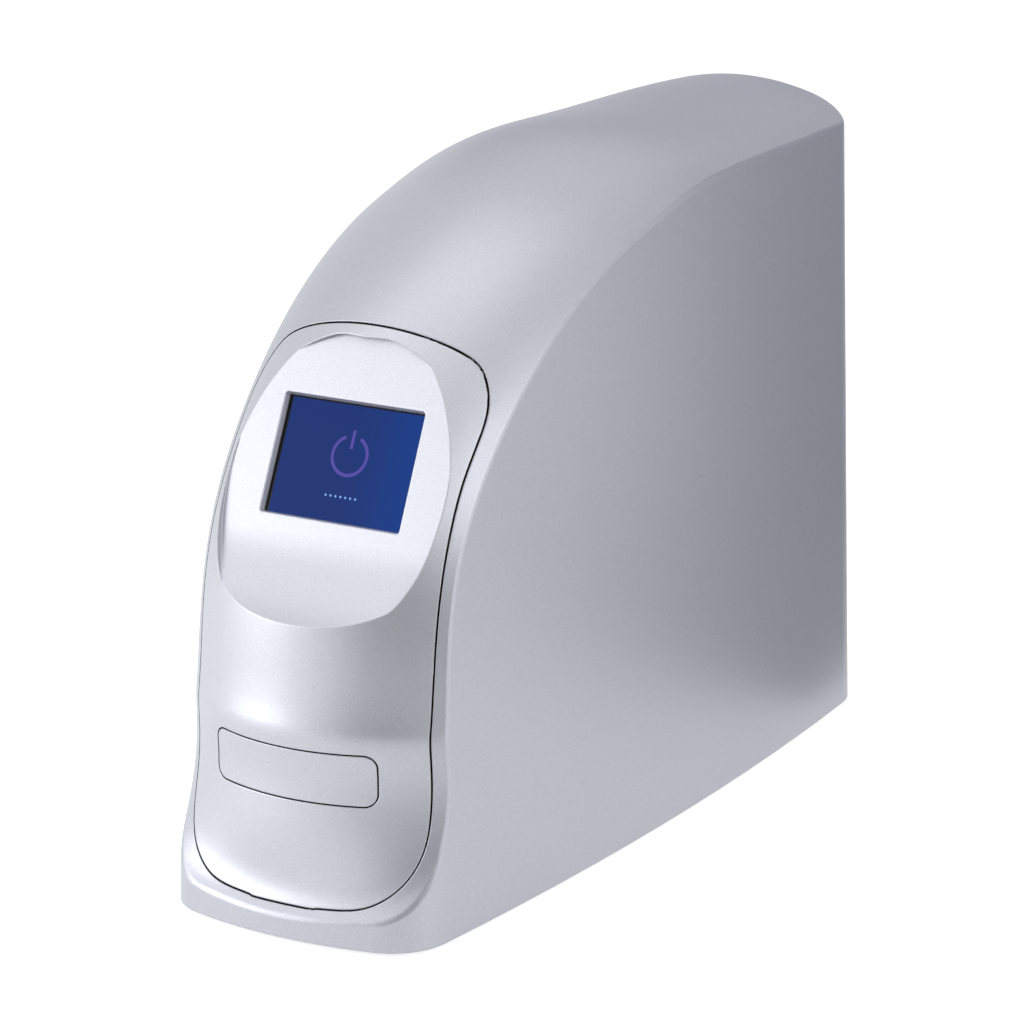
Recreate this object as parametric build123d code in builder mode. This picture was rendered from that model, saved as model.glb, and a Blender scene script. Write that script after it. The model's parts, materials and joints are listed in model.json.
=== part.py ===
from build123d import *
import math
import os

os.makedirs("parts", exist_ok=True)

# Phosphor plate scanner: crowned housing, inset front cover with display, plate drawer, scan drive.
# Millimetres. X runs to the viewer's right, the front looks along -Y, Z is up.
# The origin lies on the table under the middle of the housing. A depth is measured
# forward from the flat rear plane and a height upward from the housing's bottom edge.

# Housing: plan outline, draft and wall
housing_length = 448.0
rear_width = 151.0
front_width = 134.8
side_bulge = 11.0
side_draft = 1.8
front_plan_radius = 195.0
front_corner_radius = 29.0
rear_corner_radius = 30.0
shell_wall = 3.0
crease_radius = 3.6
foot_height = 2.0

# Crowned top and front: the crease where it meets the flat sides, and its rise in the middle
crease_height = 307.0
crown_rise = 31.0
nose_share = 0.9125
# Depth share, height share, rise share and the direction of the rise in degrees
crown_shares = (
    (-0.056, 0.985, 0.58, 90.0),
    (0.000, 0.991, 0.55, 90.0),
    (0.112, 0.997, 0.53, 90.0),
    (0.290, 1.000, 0.54, 91.2),
    (0.406, 0.9925, 0.70, 94.9),
    (0.507, 0.965, 0.845, 101.2),
    (0.607, 0.922, 0.93, 111.3),
    (0.709, 0.846, 1.00, 124.7),
    (0.799, 0.738, 1.03, 137.8),
    (0.867, 0.610, 1.025, 150.2),
    (0.901, 0.474, 0.985, 162.4),
    (0.911, 0.342, 0.98, 173.5),
    (0.912, 0.261, 1.00, 179.4),
    (0.919, 0.178, 0.91, 180.0),
    (0.9375, 0.117, 0.655, 180.0),
    (0.967, 0.0606, 0.27, 180.0),
    (0.990, 0.0340, 0.14, 180.0),
    (1.030, 0.0090, 0.16, 180.0),
)

# Front cover, set into the crown behind an even seam
cover_width = 123.0
cover_height = 249.6
cover_lift = 14.8
cover_wall = 2.5
seam_gap = 0.7
ledge_reach = 3.5
ledge_wall = 2.5
ledge_foot = 26.0
seat_gap = 0.3
# Half outline from the top middle to the bottom middle: share of half width, share of height
cover_outline_shares = (
    (0.000, 1.000),
    (0.455, 0.986),
    (0.700, 0.9643),
    (0.846, 0.9400),
    (0.932, 0.9080),
    (0.980, 0.8730),
    (0.993, 0.8300),
    (0.987, 0.7700),
    (0.990, 0.7000),
    (0.998, 0.5850),
    (1.000, 0.4400),
    (1.002, 0.3000),
    (1.010, 0.1800),
    (1.006, 0.1350),
    (0.976, 0.0950),
    (0.898, 0.0575),
    (0.755, 0.0265),
    (0.553, 0.0090),
    (0.290, 0.0025),
    (0.000, 0.0000),
)

# Display facet: a flat that leans back and curls forward at its foot
facet_height = 207.2
facet_setback = 19.4
facet_tilt = 25.2
facet_foot = 8.0
facet_curl_radius = 69.0
facet_width = 114.0
facet_low = 138.0
facet_rise = 122.0
# Right half of the facet's rim from the top middle down: share of half width, share of rise
facet_rim_shares = (
    (0.000, 1.000),
    (0.246, 0.997),
    (0.474, 0.957),
    (0.649, 0.910),
    (0.772, 0.861),
    (0.851, 0.779),
    (0.930, 0.689),
    (0.982, 0.574),
    (1.000, 0.475),
    (0.991, 0.385),
    (0.947, 0.270),
    (0.842, 0.160),
    (0.600, 0.060),
    (0.320, 0.012),
    (0.000, 0.000),
)
window_width = 74.0
window_height = 56.0
window_corner = 1.6
window_slope = 18.0

# Display stack behind the window, in distances behind the facet
window_depth = 3.0
bezel_width = 86.0
bezel_height = 70.0
bezel_corner = 3.0
glass_width = 82.0
glass_height = 66.0
glass_thickness = 1.1
lcd_width = 76.9
lcd_height = 63.9
lcd_thickness = 3.3
bracket_sheet = 1.2
bracket_lip = 12.0
display_post_height = 8.0
display_post_radius = 2.2
display_post_inset = 4.0
display_board_width = 72.0
display_board_height = 58.0
board_thickness = 1.6
display_chip_height = 2.5

# Drawer opening and drawer front
door_width = 84.4
door_height = 23.6
door_centre_height = 75.5
door_corner = 5.5
door_gap = 0.7
door_thickness = 5.0
door_travel = 118.0
seal_width = 4.0
seal_thickness = 3.0

# Image plate carrier and its travel under the optics
plate_width = 57.0
plate_length = 94.0
plate_clearance = 1.5
carrier_rim = 2.0
carrier_thickness = 4.0
pocket_depth = 1.5
running_gap = 0.3
carrier_setback = 24.0
scan_travel = 110.0

# Drawer tray, its runners and the rails that hold them
tray_lift = 70.0
tray_floor = 2.0
tray_wall = 2.4
tray_depth = 13.0
tray_arm_reach = 41.0
runner_reach = 4.0
runner_thickness = 3.0
runner_lift = 4.0
rail_grip = 18.0
rail_length = 140.0
rail_sheet = 3.0
rail_foot = 8.0

# Rack and pinion that move the drawer
gear_module = 1.0
pinion_teeth = 18
pinion_width = 6.0
pressure_angle = 20.0
gear_backlash = 0.12
root_depth = 1.25
rack_body = 3.15
rack_teeth = 43
rack_lead_teeth = 2.5
pinion_setback = 38.0
pinion_shaft_radius = 2.0
drawer_motor_radius = 10.0
drawer_motor_length = 32.0
drawer_motor_gap = 0.5
motor_bore_depth = 8.0
saddle_length = 22.0
saddle_wall = 3.0

# Base plate, feet and side frames
base_thickness = 2.5
foot_radius = 9.0
foot_inset = 48.0
foot_spread = 84.0
boss_radius = 4.0
boss_height = 14.0
boss_setback = 62.0
boss_bite = 0.6
screw_radius = 1.5
screw_head_radius = 2.6
screw_head_height = 1.5
fit_gap = 0.05
frame_sheet = 2.0
frame_half_width = 62.0
frame_height = 150.0
frame_setback = 78.0
frame_length = 274.0
frame_window_margin = 24.0
frame_post_width = 20.0

# Scan drive: two guide rods with a leadscrew between them
rod_radius = 4.0
rod_span = 44.0
rod_height = 95.0
block_thickness = 8.0
block_low = 86.0
block_high = 106.0
front_block_setback = 137.0
shuttle_length = 17.0
shuttle_gap = 0.5
shuttle_half_width = 31.0
finger_width = 26.0
finger_thickness = 3.4
finger_root = 6.0
bush_wall = 2.0
leadscrew_radius = 3.0
nut_radius = 6.5
coupling_radius = 6.0
coupling_length = 18.0
coupling_gap = 3.0
stepper_size = 35.0
stepper_length = 34.0
stepper_shaft_radius = 2.5
stepper_plate = 3.0
stepper_plate_margin = 4.0
magnet_size = 3.0
magnet_width = 12.0
magnet_thickness = 2.0
bed_wall = 2.4
bed_leg = 6.0
bed_riser_width = 40.0
bed_margin = 8.0

# Optics on a bench above the side frames
bench_thickness = 6.0
bench_length = 190.0
bench_half_width = 64.0
scan_line_lead = 5.0
slot_width = 8.0
slot_length = 72.0
beam_lift = 10.0
fold_turn = 45.0
laser_length = 40.0
laser_size = 16.0
laser_distance = 20.0
laser_nose_radius = 4.0
laser_nose = 4.0
mirror_lead = 106.0
mirror_width = 14.0
mirror_height = 12.0
mirror_thickness = 1.5
mirror_shaft_radius = 2.0
galvo_radius = 11.0
galvo_length = 28.0
galvo_flange_radius = 15.0
galvo_flange = 2.0
lens_lead = 66.0
lens_width = 44.0
lens_height = 14.0
lens_edge = 4.0
lens_face_radius = 46.0
lens_cell = 3.0
fold_width = 72.0
fold_height = 18.0
fold_thickness = 2.0
fold_plate = 2.5
fold_cheek = 4.0
fold_cheek_reach = 9.0
collector_line = 60.0
collector_foot = 5.0
collector_lift = 2.4
collector_top = 22.0
collector_lead = 7.0
collector_lean = 15.0
collector_rise = 56.0
filter_thickness = 3.0
tube_radius = 13.0
tube_length = 50.0
tube_hole_gap = 1.0
erase_setback = 98.0
erase_lift = 90.0
erase_height = 7.0
erase_length = 8.0
erase_lamp_radius = 2.0
erase_lamp_height = 1.6
erase_lamp_pitch = 8.0
erase_lamp_count = 8

# Electronics
main_board_width = 112.0
main_board_length = 96.0
main_board_setback = 216.0
main_board_lift = 10.0
standoff_radius = 3.0
standoff_inset = 5.0
power_board_length = 90.0
power_board_height = 60.0
power_board_low = 16.0
power_board_setback = 253.0
power_board_gap = 3.0
# Components on the boards: place shares along both sides, size shares and height share
main_chip_shares = (
    (-0.25, 0.10, 0.22, 0.24, 0.30),
    (0.12, 0.18, 0.15, 0.18, 0.20),
    (0.30, -0.20, 0.10, 0.12, 0.20),
    (-0.05, -0.28, 0.12, 0.10, 0.25),
    (-0.36, -0.26, 0.08, 0.22, 0.90),
    (0.40, 0.20, 0.08, 0.30, 1.00),
)
main_chip_height = 9.0
power_chip_shares = (
    (-0.28, 0.00, 0.22, 0.50, 1.00),
    (0.02, 0.15, 0.20, 0.34, 0.75),
    (0.28, -0.15, 0.18, 0.40, 0.90),
    (0.32, 0.30, 0.12, 0.16, 0.50),
)
power_chip_height = 7.0

# Rear panel behind a window in the rear wall, with fan, switch and sockets
panel_thickness = 2.0
panel_overlap = 6.2
panel_window_width = 62.0
panel_window_low = 9.0
panel_window_high = 240.0
panel_window_corner = 5.0
panel_screw_rows = 4
fan_size = 60.0
fan_thickness = 15.0
fan_height = 196.0
fan_bore_radius = 28.0
fan_hub_radius = 11.0
fan_hub_plate = 2.5
fan_strut = 3.0
fan_blades = 7
fan_tip_gap = 1.0
fan_blade_thickness = 1.5
fan_blade_pitch = 35.0
fan_axle_radius = 1.5
grille_hole_radius = 2.6
grille_pitch = 7.0
grille_rows = 7
vent_width = 44.0
vent_height = 3.0
vent_pitch = 7.0
vent_count = 8
vent_low = 92.0
switch_width = 21.0
switch_height = 15.0
switch_length = 16.0
switch_wall = 1.5
switch_centre_height = 66.0
rocker_gap = 0.4
rocker_length = 9.0
rocker_swing = 8.0
rocker_axle_radius = 1.2
interface_board_width = 58.0
interface_board_length = 44.0
interface_board_height = 24.0
power_socket_width = 12.0
power_socket_height = 12.0
power_socket_length = 15.0
power_socket_bore_radius = 4.2
power_socket_pin_radius = 1.0
power_socket_hole = 10.0
power_socket_x = -19.0
usb_width = 12.0
usb_height = 11.0
usb_length = 16.0
usb_wall = 1.0
usb_tongue_width = 5.6
usb_tongue_height = 3.2
usb_hole = 9.0
usb_x = -1.5
network_width = 16.0
network_height = 13.5
network_length = 21.0
network_wall = 1.6
network_hole = 12.0
network_x = 18.0

# One length for every cut that has to run past a face
overrun = 8.0

# Places worked out from the sizes
rear_y = housing_length / 2
front_y = -housing_length / 2
draft_slope = math.tan(math.radians(side_draft))
facet_depth = nose_share * housing_length - facet_setback
carrier_length = plate_length + 2 * (carrier_rim + plate_clearance)
carrier_front_depth = housing_length - carrier_setback
carrier_rear_depth = carrier_front_depth - carrier_length
arm_rear_depth = carrier_rear_depth - tray_arm_reach
rail_front_depth = arm_rear_depth + door_travel + rail_grip
rail_rear_depth = rail_front_depth - rail_length
pinion_depth = housing_length - pinion_setback
frame_front_depth = housing_length - frame_setback
frame_rear_depth = frame_front_depth - frame_length
front_block_depth = housing_length - front_block_setback
bed_rear_depth = carrier_rear_depth - scan_travel - bed_margin
bench_rear_depth = frame_front_depth - bench_length
scan_depth = carrier_rear_depth - scan_line_lead
mirror_depth = scan_depth - mirror_lead
lens_depth = scan_depth - lens_lead
erase_depth = housing_length - erase_setback
main_board_depth = housing_length - main_board_setback
power_board_depth = housing_length - power_board_setback


def y_at(depth):
    """Y of a place at a depth in front of the rear plane."""
    return rear_y - depth


def z_at(height):
    """Z of a place at a height above the housing's bottom edge."""
    return foot_height + height


def half_width(depth, height):
    """Half width of the housing between its flat sides."""
    share = depth / housing_length
    straight = (rear_width + (front_width - rear_width) * share) / 2
    return straight + 4 * side_bulge * share * (1 - share) - height * draft_slope


def crown_stations():
    """Crease depth, crease height, rise and rise direction of each station."""
    for depth_share, height_share, rise_share, direction in crown_shares:
        yield (
            depth_share * housing_length,
            height_share * crease_height,
            rise_share * crown_rise,
            math.radians(direction),
        )


def box(left, right, depth_a, depth_b, low, high, mode=Mode.ADD):
    """A box between two sides, two depths and two heights, in the part being built."""
    with Locations(((left + right) / 2, y_at((depth_a + depth_b) / 2), z_at((low + high) / 2))):
        Box(right - left, abs(depth_b - depth_a), high - low, mode=mode)


def rod_along_y(x, height, radius, depth_a, depth_b, mode=Mode.ADD):
    """A round bar along Y between two depths."""
    with Locations(Location((x, y_at((depth_a + depth_b) / 2), z_at(height)), (90, 0, 0))):
        Cylinder(radius, abs(depth_b - depth_a), mode=mode)


def post(x, depth, radius, low, high, mode=Mode.ADD):
    """A round bar along Z between two heights."""
    with Locations((x, y_at(depth), z_at((low + high) / 2))):
        Cylinder(radius, high - low, mode=mode)


def crown_air(inset):
    """The air outside the crowned surface, with the surface moved inward by an inset."""
    with BuildPart() as air:
        for depth, height, rise, direction in crown_stations():
            reach = half_width(depth, height)
            radius = (reach**2 + rise**2) / (2 * rise)
            outward = Vector(0, math.cos(direction), math.sin(direction))
            crest = Vector(0, y_at(depth), z_at(height)) + outward * (rise - inset)
            span = reach + overrun
            drop = radius - math.sqrt(radius**2 - span**2)
            place = Plane(origin=crest, x_dir=(1, 0, 0), z_dir=Vector(1, 0, 0).cross(outward))
            with BuildSketch(place):
                with BuildLine():
                    ThreePointArc((-span, -drop), (0, 0), (span, -drop))
                    Polyline((span, -drop), (span, crease_height), (-span, crease_height), (-span, -drop))
                make_face()
        loft()
    return air.part


def housing_prism(inset):
    """The drafted body under the crown: bulged sides, curved front and rounded corners."""
    with BuildPart() as body:
        with BuildSketch(Plane.XY.offset(foot_height)) as plan:
            with BuildLine():
                behind = rear_y + rear_corner_radius
                back = half_width(-rear_corner_radius, 0)
                side = half_width(housing_length / 2, 0)
                nose = front_width / 2
                nose_y = front_y + nose**2 / (2 * front_plan_radius)
                Line((back, behind), (-back, behind))
                ThreePointArc((-back, behind), (-side, 0), (-nose, nose_y))
                ThreePointArc((-nose, nose_y), (0, front_y), (nose, nose_y))
                ThreePointArc((nose, nose_y), (side, 0), (back, behind))
            make_face()
            fillet(plan.vertices().sort_by(Axis.Y)[:2], front_corner_radius)
            if inset:
                offset(amount=-inset, kind=Kind.INTERSECTION)
        extrude(amount=crease_height + crown_rise, taper=side_draft)
        split(bisect_by=Plane.XZ.offset(inset - rear_y), keep=Keep.TOP)
        corners = body.edges().filter_by(lambda e: abs(e.center().Y - rear_y + inset) < fit_gap)
        uprights = corners.filter_by(lambda e: e.length > crease_height)
        fillet(uprights, rear_corner_radius - inset)
    return body.part


def half_outline(shares, width, low, rise, grow):
    """Half outline as points in the front view, from the top down, moved outward by an amount."""
    points = [
        (x_share * width / 2, z_at(low + z_share * rise)) for x_share, z_share in shares
    ]
    moved = [(0, points[0][1] + grow)]
    for before, here, after in zip(points, points[1:], points[2:]):
        run = after[0] - before[0]
        fall = after[1] - before[1]
        length = math.hypot(run, fall)
        moved.append((here[0] - grow * fall / length, here[1] + grow * run / length))
    moved.append((0, points[-1][1] - grow))
    return moved


def front_prism(points):
    """The shape inside a half outline, mirrored and run through the front half of the housing."""
    with BuildPart() as prism:
        with BuildSketch(Plane.XZ):
            with BuildLine():
                Spline(*points, tangents=[(1, 0), (-1, 0)])
                mirror(about=Plane.YZ)
            make_face()
        extrude(amount=housing_length / 2 + overrun)
    return prism.part


def cover_prism(grow):
    """The cover's outline, grown by an amount, run through the front."""
    return front_prism(
        half_outline(cover_outline_shares, cover_width, cover_lift, cover_height, grow)
    )


def door_prism(grow):
    """The drawer opening's rounded rectangle, grown by an amount, run through the front."""
    with BuildPart() as prism:
        with BuildSketch(Plane.XZ):
            with Locations((0, z_at(door_centre_height))):
                RectangleRounded(
                    door_width + 2 * grow, door_height + 2 * grow, door_corner + grow
                )
        extrude(amount=housing_length / 2 + overrun)
    return prism.part


lean = math.radians(facet_tilt)
facet_origin = Vector(0, y_at(facet_depth), z_at(facet_height))
facet_plane = Plane(
    origin=facet_origin, x_dir=(1, 0, 0), z_dir=(0, -math.cos(lean), math.sin(lean))
)


def facet_air(inset):
    """The air in front of the display facet, with the facet moved inward by an inset."""
    up = Vector(0, math.sin(lean), math.cos(lean))
    inward = Vector(0, math.cos(lean), -math.sin(lean))
    foot = facet_origin - up * (window_height / 2 + facet_foot) + inward * inset
    top = facet_origin + up * crease_height / 2 + inward * inset
    radius = facet_curl_radius + inset
    centre = foot - inward * radius
    turns = [math.radians(facet_tilt + step * (90 - facet_tilt) / 2) for step in (1, 2)]
    bend = [centre + Vector(0, math.cos(t), -math.sin(t)) * radius for t in turns]
    outside = front_y - overrun
    with BuildPart() as air:
        with BuildSketch(Plane.YZ.offset(-cover_width / 2)) as profile:
            with BuildLine():
                Line((foot.Y, foot.Z), (top.Y, top.Z))
                Line((top.Y, top.Z), (outside - crease_height, top.Z))
                Line((outside - crease_height, top.Z), (outside - crease_height, bend[1].Z))
                Line((outside - crease_height, bend[1].Z), (bend[1].Y, bend[1].Z))
                ThreePointArc(
                    (bend[1].Y, bend[1].Z), (bend[0].Y, bend[0].Z), (foot.Y, foot.Z)
                )
            make_face()
        extrude(amount=cover_width)
    return air.part


# Shells of the crown at the insets that the pieces need
air_outer = crown_air(0)
air_shell = crown_air(shell_wall)
air_cover = crown_air(cover_wall)
cover_zone = cover_prism(0)


def panel_screw_places():
    """X and height of the screws that hold the rear panel."""
    x = panel_window_width / 2 + panel_overlap / 2
    step = (panel_window_high - panel_window_low) / (panel_screw_rows - 1)
    for row in range(panel_screw_rows):
        for side in (-x, x):
            yield side, panel_window_low + row * step


def boss_places():
    """X and depth of the screw bosses inside the housing's sides."""
    for depth in (boss_setback, housing_length - boss_setback):
        x = half_width(depth, boss_height) - shell_wall - boss_radius + boss_bite
        yield x, depth
        yield -x, depth


def crown_crease(edge):
    """True for an edge between the crown and the sides, front or rear wall."""
    extent = edge.bounding_box()
    upright = extent.size.Z > crease_height - rear_corner_radius
    return not upright and extent.max.Z > foot_height + fit_gap


# Housing shell: crowned outer skin with a flat rear wall, open underneath
with BuildPart() as shell_core:
    add(housing_prism(shell_wall))
    add(air_shell, mode=Mode.SUBTRACT)
with BuildPart() as ledge_ring:
    add(crown_air(cover_wall + seat_gap + ledge_wall))
    add(crown_air(cover_wall + seat_gap), mode=Mode.SUBTRACT)
    add(cover_prism(ledge_reach + seam_gap), mode=Mode.INTERSECT)
    add(cover_prism(-ledge_reach), mode=Mode.SUBTRACT)
    add(facet_air(cover_wall + seat_gap), mode=Mode.SUBTRACT)
    box(-cover_width, cover_width, 0, housing_length, -overrun, ledge_foot, Mode.SUBTRACT)
with BuildPart() as shell_bosses:
    for x, depth in boss_places():
        post(x, depth, boss_radius, base_thickness, boss_height)
        post(x, depth, screw_radius, base_thickness, boss_height, Mode.SUBTRACT)
with BuildPart() as panel_window:
    window_middle = (panel_window_low + panel_window_high) / 2
    with BuildSketch(Plane.XZ.offset(-rear_y)):
        with Locations((0, z_at(window_middle))):
            RectangleRounded(
                panel_window_width, panel_window_high - panel_window_low, panel_window_corner
            )
    extrude(amount=shell_wall + fit_gap)
with BuildPart() as housing_shell:
    add(housing_prism(0))
    add(air_outer, mode=Mode.SUBTRACT)
    fillet(edges().filter_by(GeomType.BSPLINE).filter_by(crown_crease), crease_radius)
    add(shell_core.part, mode=Mode.SUBTRACT)
    add(cover_prism(seam_gap), mode=Mode.SUBTRACT)
    add(ledge_ring.part)
    add(shell_bosses.part)
    add(panel_window.part, mode=Mode.SUBTRACT)
    for x, height in panel_screw_places():
        rod_along_y(x, height, screw_radius + fit_gap, -overrun, overrun, Mode.SUBTRACT)
        rod_along_y(
            x, height, screw_head_radius + fit_gap, -overrun, screw_head_height, Mode.SUBTRACT
        )
housing_shell.part.label = "housing_shell"
export_step(housing_shell.part, "parts/housing_shell.step")

# Front cover with the display facet, its window and the drawer opening
with BuildPart() as facet_cut:
    add(facet_air(0))
    rim = half_outline(facet_rim_shares, facet_width, facet_low, facet_rise, 0)
    add(front_prism(rim), mode=Mode.INTERSECT)
with BuildPart() as front_cover:
    add(air_cover)
    add(facet_air(cover_wall))
    with BuildSketch(facet_plane.offset(-window_depth)):
        RectangleRounded(bezel_width, bezel_height, bezel_corner)
    extrude(amount=window_depth)
    add(cover_zone, mode=Mode.INTERSECT)
    add(air_outer, mode=Mode.SUBTRACT)
    add(facet_cut.part, mode=Mode.SUBTRACT)
    with BuildSketch(facet_plane):
        RectangleRounded(window_width, window_height, window_corner)
    extrude(amount=-window_depth, taper=window_slope, mode=Mode.SUBTRACT)
    add(door_prism(door_gap), mode=Mode.SUBTRACT)
front_cover.part.label = "front_cover"
export_step(front_cover.part, "parts/front_cover.step")

# Drawer front
with BuildPart() as drawer_front:
    add(crown_air(door_thickness))
    add(air_outer, mode=Mode.SUBTRACT)
    add(door_prism(0), mode=Mode.INTERSECT)
drawer_front.part.label = "drawer_front"
export_step(drawer_front.part, "parts/drawer_front.step")

# Soft seal round the drawer opening, on the cover's inner face
with BuildPart() as drawer_seal:
    add(crown_air(cover_wall + seal_thickness))
    add(air_cover, mode=Mode.SUBTRACT)
    add(door_prism(door_gap + seal_width), mode=Mode.INTERSECT)
    add(door_prism(door_gap), mode=Mode.SUBTRACT)
drawer_seal.part.label = "drawer_seal"
export_step(drawer_seal.part, "parts/drawer_seal.step")


def behind_facet(distance):
    """The plane parallel to the facet at a distance behind it."""
    return facet_plane.offset(-distance)


# Display glass, panel, bracket and controller board
glass_back = window_depth + glass_thickness
lcd_back = glass_back + lcd_thickness
bracket_back = lcd_back + bracket_sheet
board_front = bracket_back + display_post_height
board_back = board_front + board_thickness
with BuildPart() as display_glass:
    with BuildSketch(behind_facet(window_depth)):
        RectangleRounded(glass_width, glass_height, window_corner)
    extrude(amount=-glass_thickness)
display_glass.part.label = "display_glass"
export_step(display_glass.part, "parts/display_glass.step")

with BuildPart() as lcd_panel:
    with BuildSketch(behind_facet(glass_back)):
        Rectangle(lcd_width, lcd_height)
    extrude(amount=-lcd_thickness)
lcd_panel.part.label = "lcd_panel"
export_step(lcd_panel.part, "parts/lcd_panel.step")

display_posts = GridLocations(
    display_board_width - 2 * display_post_inset,
    display_board_height - 2 * display_post_inset,
    2,
    2,
)
with BuildPart() as display_bracket:
    with BuildSketch(behind_facet(window_depth)):
        RectangleRounded(bezel_width, bezel_height, bezel_corner)
    extrude(amount=window_depth - bracket_back)
    with BuildSketch(behind_facet(window_depth)):
        RectangleRounded(glass_width + 2 * fit_gap, glass_height + 2 * fit_gap, window_corner)
    extrude(amount=window_depth - lcd_back, mode=Mode.SUBTRACT)
    with BuildSketch(behind_facet(lcd_back)):
        RectangleRounded(
            lcd_width - 2 * bracket_lip, lcd_height - 2 * bracket_lip, bezel_corner
        )
    extrude(amount=-bracket_sheet, mode=Mode.SUBTRACT)
    with BuildSketch(behind_facet(bracket_back)):
        with display_posts:
            Circle(display_post_radius)
    extrude(amount=-display_post_height)
display_bracket.part.label = "display_bracket"
export_step(display_bracket.part, "parts/display_bracket.step")

with BuildPart() as display_board:
    with BuildSketch(behind_facet(board_front)):
        RectangleRounded(display_board_width, display_board_height, bezel_corner)
        with display_posts:
            Circle(screw_radius, mode=Mode.SUBTRACT)
    extrude(amount=-board_thickness)
display_board.part.label = "display_board"
export_step(display_board.part, "parts/display_board.step")

# Drawer tray with side arms and runners
carrier_half_width = plate_width / 2 + plate_clearance + carrier_rim
carrier_low = tray_lift + tray_floor + running_gap
carrier_high = carrier_low + carrier_thickness
tray_inner = carrier_half_width + running_gap
tray_outer = tray_inner + tray_wall
runner_outer = tray_outer + runner_reach
tray_high = tray_lift + tray_depth
with BuildPart() as drawer_tray:
    box(-tray_outer, tray_outer, carrier_rear_depth, housing_length, tray_lift, tray_high)
    box(
        -tray_inner, tray_inner, carrier_rear_depth - overrun, carrier_front_depth + running_gap,
        tray_lift + tray_floor, tray_high + overrun, Mode.SUBTRACT,
    )
    for side in (-1, 1):
        inner, outer = sorted((side * tray_inner, side * tray_outer))
        box(inner, outer, arm_rear_depth, carrier_rear_depth, tray_lift, tray_high)
        inner, outer = sorted((side * tray_outer, side * runner_outer))
        runner_low = tray_lift + runner_lift
        box(
            inner, outer, arm_rear_depth, rail_front_depth,
            runner_low, runner_low + runner_thickness,
        )
    add(crown_air(door_thickness), mode=Mode.SUBTRACT)
drawer_tray.part.label = "drawer_tray"
export_step(drawer_tray.part, "parts/drawer_tray.step")

# Image plate carrier: a shallow pocket on a flat sled
with BuildPart() as plate_carrier:
    box(
        -carrier_half_width, carrier_half_width, carrier_rear_depth, carrier_front_depth,
        carrier_low, carrier_high,
    )
    pocket_half = plate_width / 2 + plate_clearance
    box(
        -pocket_half, pocket_half, carrier_rear_depth + carrier_rim,
        carrier_front_depth - carrier_rim, carrier_high - pocket_depth,
        carrier_high + overrun, Mode.SUBTRACT,
    )
plate_carrier.part.label = "plate_carrier"
export_step(plate_carrier.part, "parts/plate_carrier.step")

# Rack under the right side arm
tooth_pitch = math.pi * gear_module
rack_front_depth = pinion_depth + rack_lead_teeth * tooth_pitch
rack_x = (tray_inner + tray_outer) / 2
pitch_height = tray_lift - rack_body
tooth_lean = math.tan(math.radians(pressure_angle))
tooth_half = tooth_pitch / 4 - gear_backlash / 4
rack_root = pitch_height + root_depth * gear_module
rack_tip = pitch_height - gear_module
with BuildPart() as drawer_rack:
    with BuildSketch(Plane.YZ.offset(rack_x - pinion_width / 2)):
        with BuildLine():
            points = [(y_at(rack_front_depth), z_at(tray_lift)), (y_at(rack_front_depth), z_at(rack_root))]
            root_half = tooth_half + root_depth * gear_module * tooth_lean
            tip_half = tooth_half - gear_module * tooth_lean
            for tooth in range(rack_teeth):
                middle = y_at(rack_front_depth) + (tooth + 1 / 2) * tooth_pitch
                points.append((middle - root_half, z_at(rack_root)))
                points.append((middle - tip_half, z_at(rack_tip)))
                points.append((middle + tip_half, z_at(rack_tip)))
                points.append((middle + root_half, z_at(rack_root)))
            rack_end = y_at(rack_front_depth) + rack_teeth * tooth_pitch
            points.append((rack_end, z_at(rack_root)))
            points.append((rack_end, z_at(tray_lift)))
            Polyline(*points, close=True)
        make_face()
    extrude(amount=pinion_width)
drawer_rack.part.label = "drawer_rack"
export_step(drawer_rack.part, "parts/drawer_rack.step")

# Pinion with involute teeth, its shaft and motor
pinion_radius = gear_module * pinion_teeth / 2
pinion_height = pitch_height - pinion_radius
base_radius = pinion_radius * math.cos(math.radians(pressure_angle))
tip_radius = pinion_radius + gear_module
root_radius = pinion_radius - root_depth * gear_module
pitch_half_angle = (tooth_pitch / 2 - gear_backlash / 2) / 2 / pinion_radius


def involute_angle(radius):
    """Angle that an involute has swept when it reaches a radius."""
    ratio = math.acos(min(1, base_radius / radius))
    return math.tan(ratio) - ratio


flank_steps = 5
flank = []
for step in range(flank_steps + 1):
    radius = base_radius + (tip_radius - base_radius) * step / flank_steps
    flank.append((radius, pitch_half_angle + involute_angle(pinion_radius) - involute_angle(radius)))
flank.insert(0, (root_radius, flank[0][1]))
with BuildPart() as drawer_pinion:
    with BuildSketch(Plane.YZ.offset(rack_x - pinion_width / 2)):
        with BuildLine():
            outline = []
            for tooth in range(pinion_teeth):
                aim = math.pi / 2 + (tooth + 1 / 2) * 2 * math.pi / pinion_teeth
                for radius, half in flank:
                    outline.append((radius, aim - half))
                for radius, half in reversed(flank):
                    outline.append((radius, aim + half))
            centre_y = y_at(pinion_depth)
            centre_z = z_at(pinion_height)
            Polyline(
                *[(centre_y + r * math.cos(a), centre_z + r * math.sin(a)) for r, a in outline],
                close=True,
            )
        make_face()
        with Locations((centre_y, centre_z)):
            Circle(pinion_shaft_radius, mode=Mode.SUBTRACT)
    extrude(amount=pinion_width)
drawer_pinion.part.label = "drawer_pinion"
export_step(drawer_pinion.part, "parts/drawer_pinion.step")

pinion_left = rack_x - pinion_width / 2
motor_right = pinion_left - drawer_motor_gap
motor_left = motor_right - drawer_motor_length


def rod_along_x(depth, height, radius, left, right, mode=Mode.ADD):
    """A round bar along X between two sides."""
    with Locations(Location(((left + right) / 2, y_at(depth), z_at(height)), (0, 90, 0))):
        Cylinder(radius, right - left, mode=mode)


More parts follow.
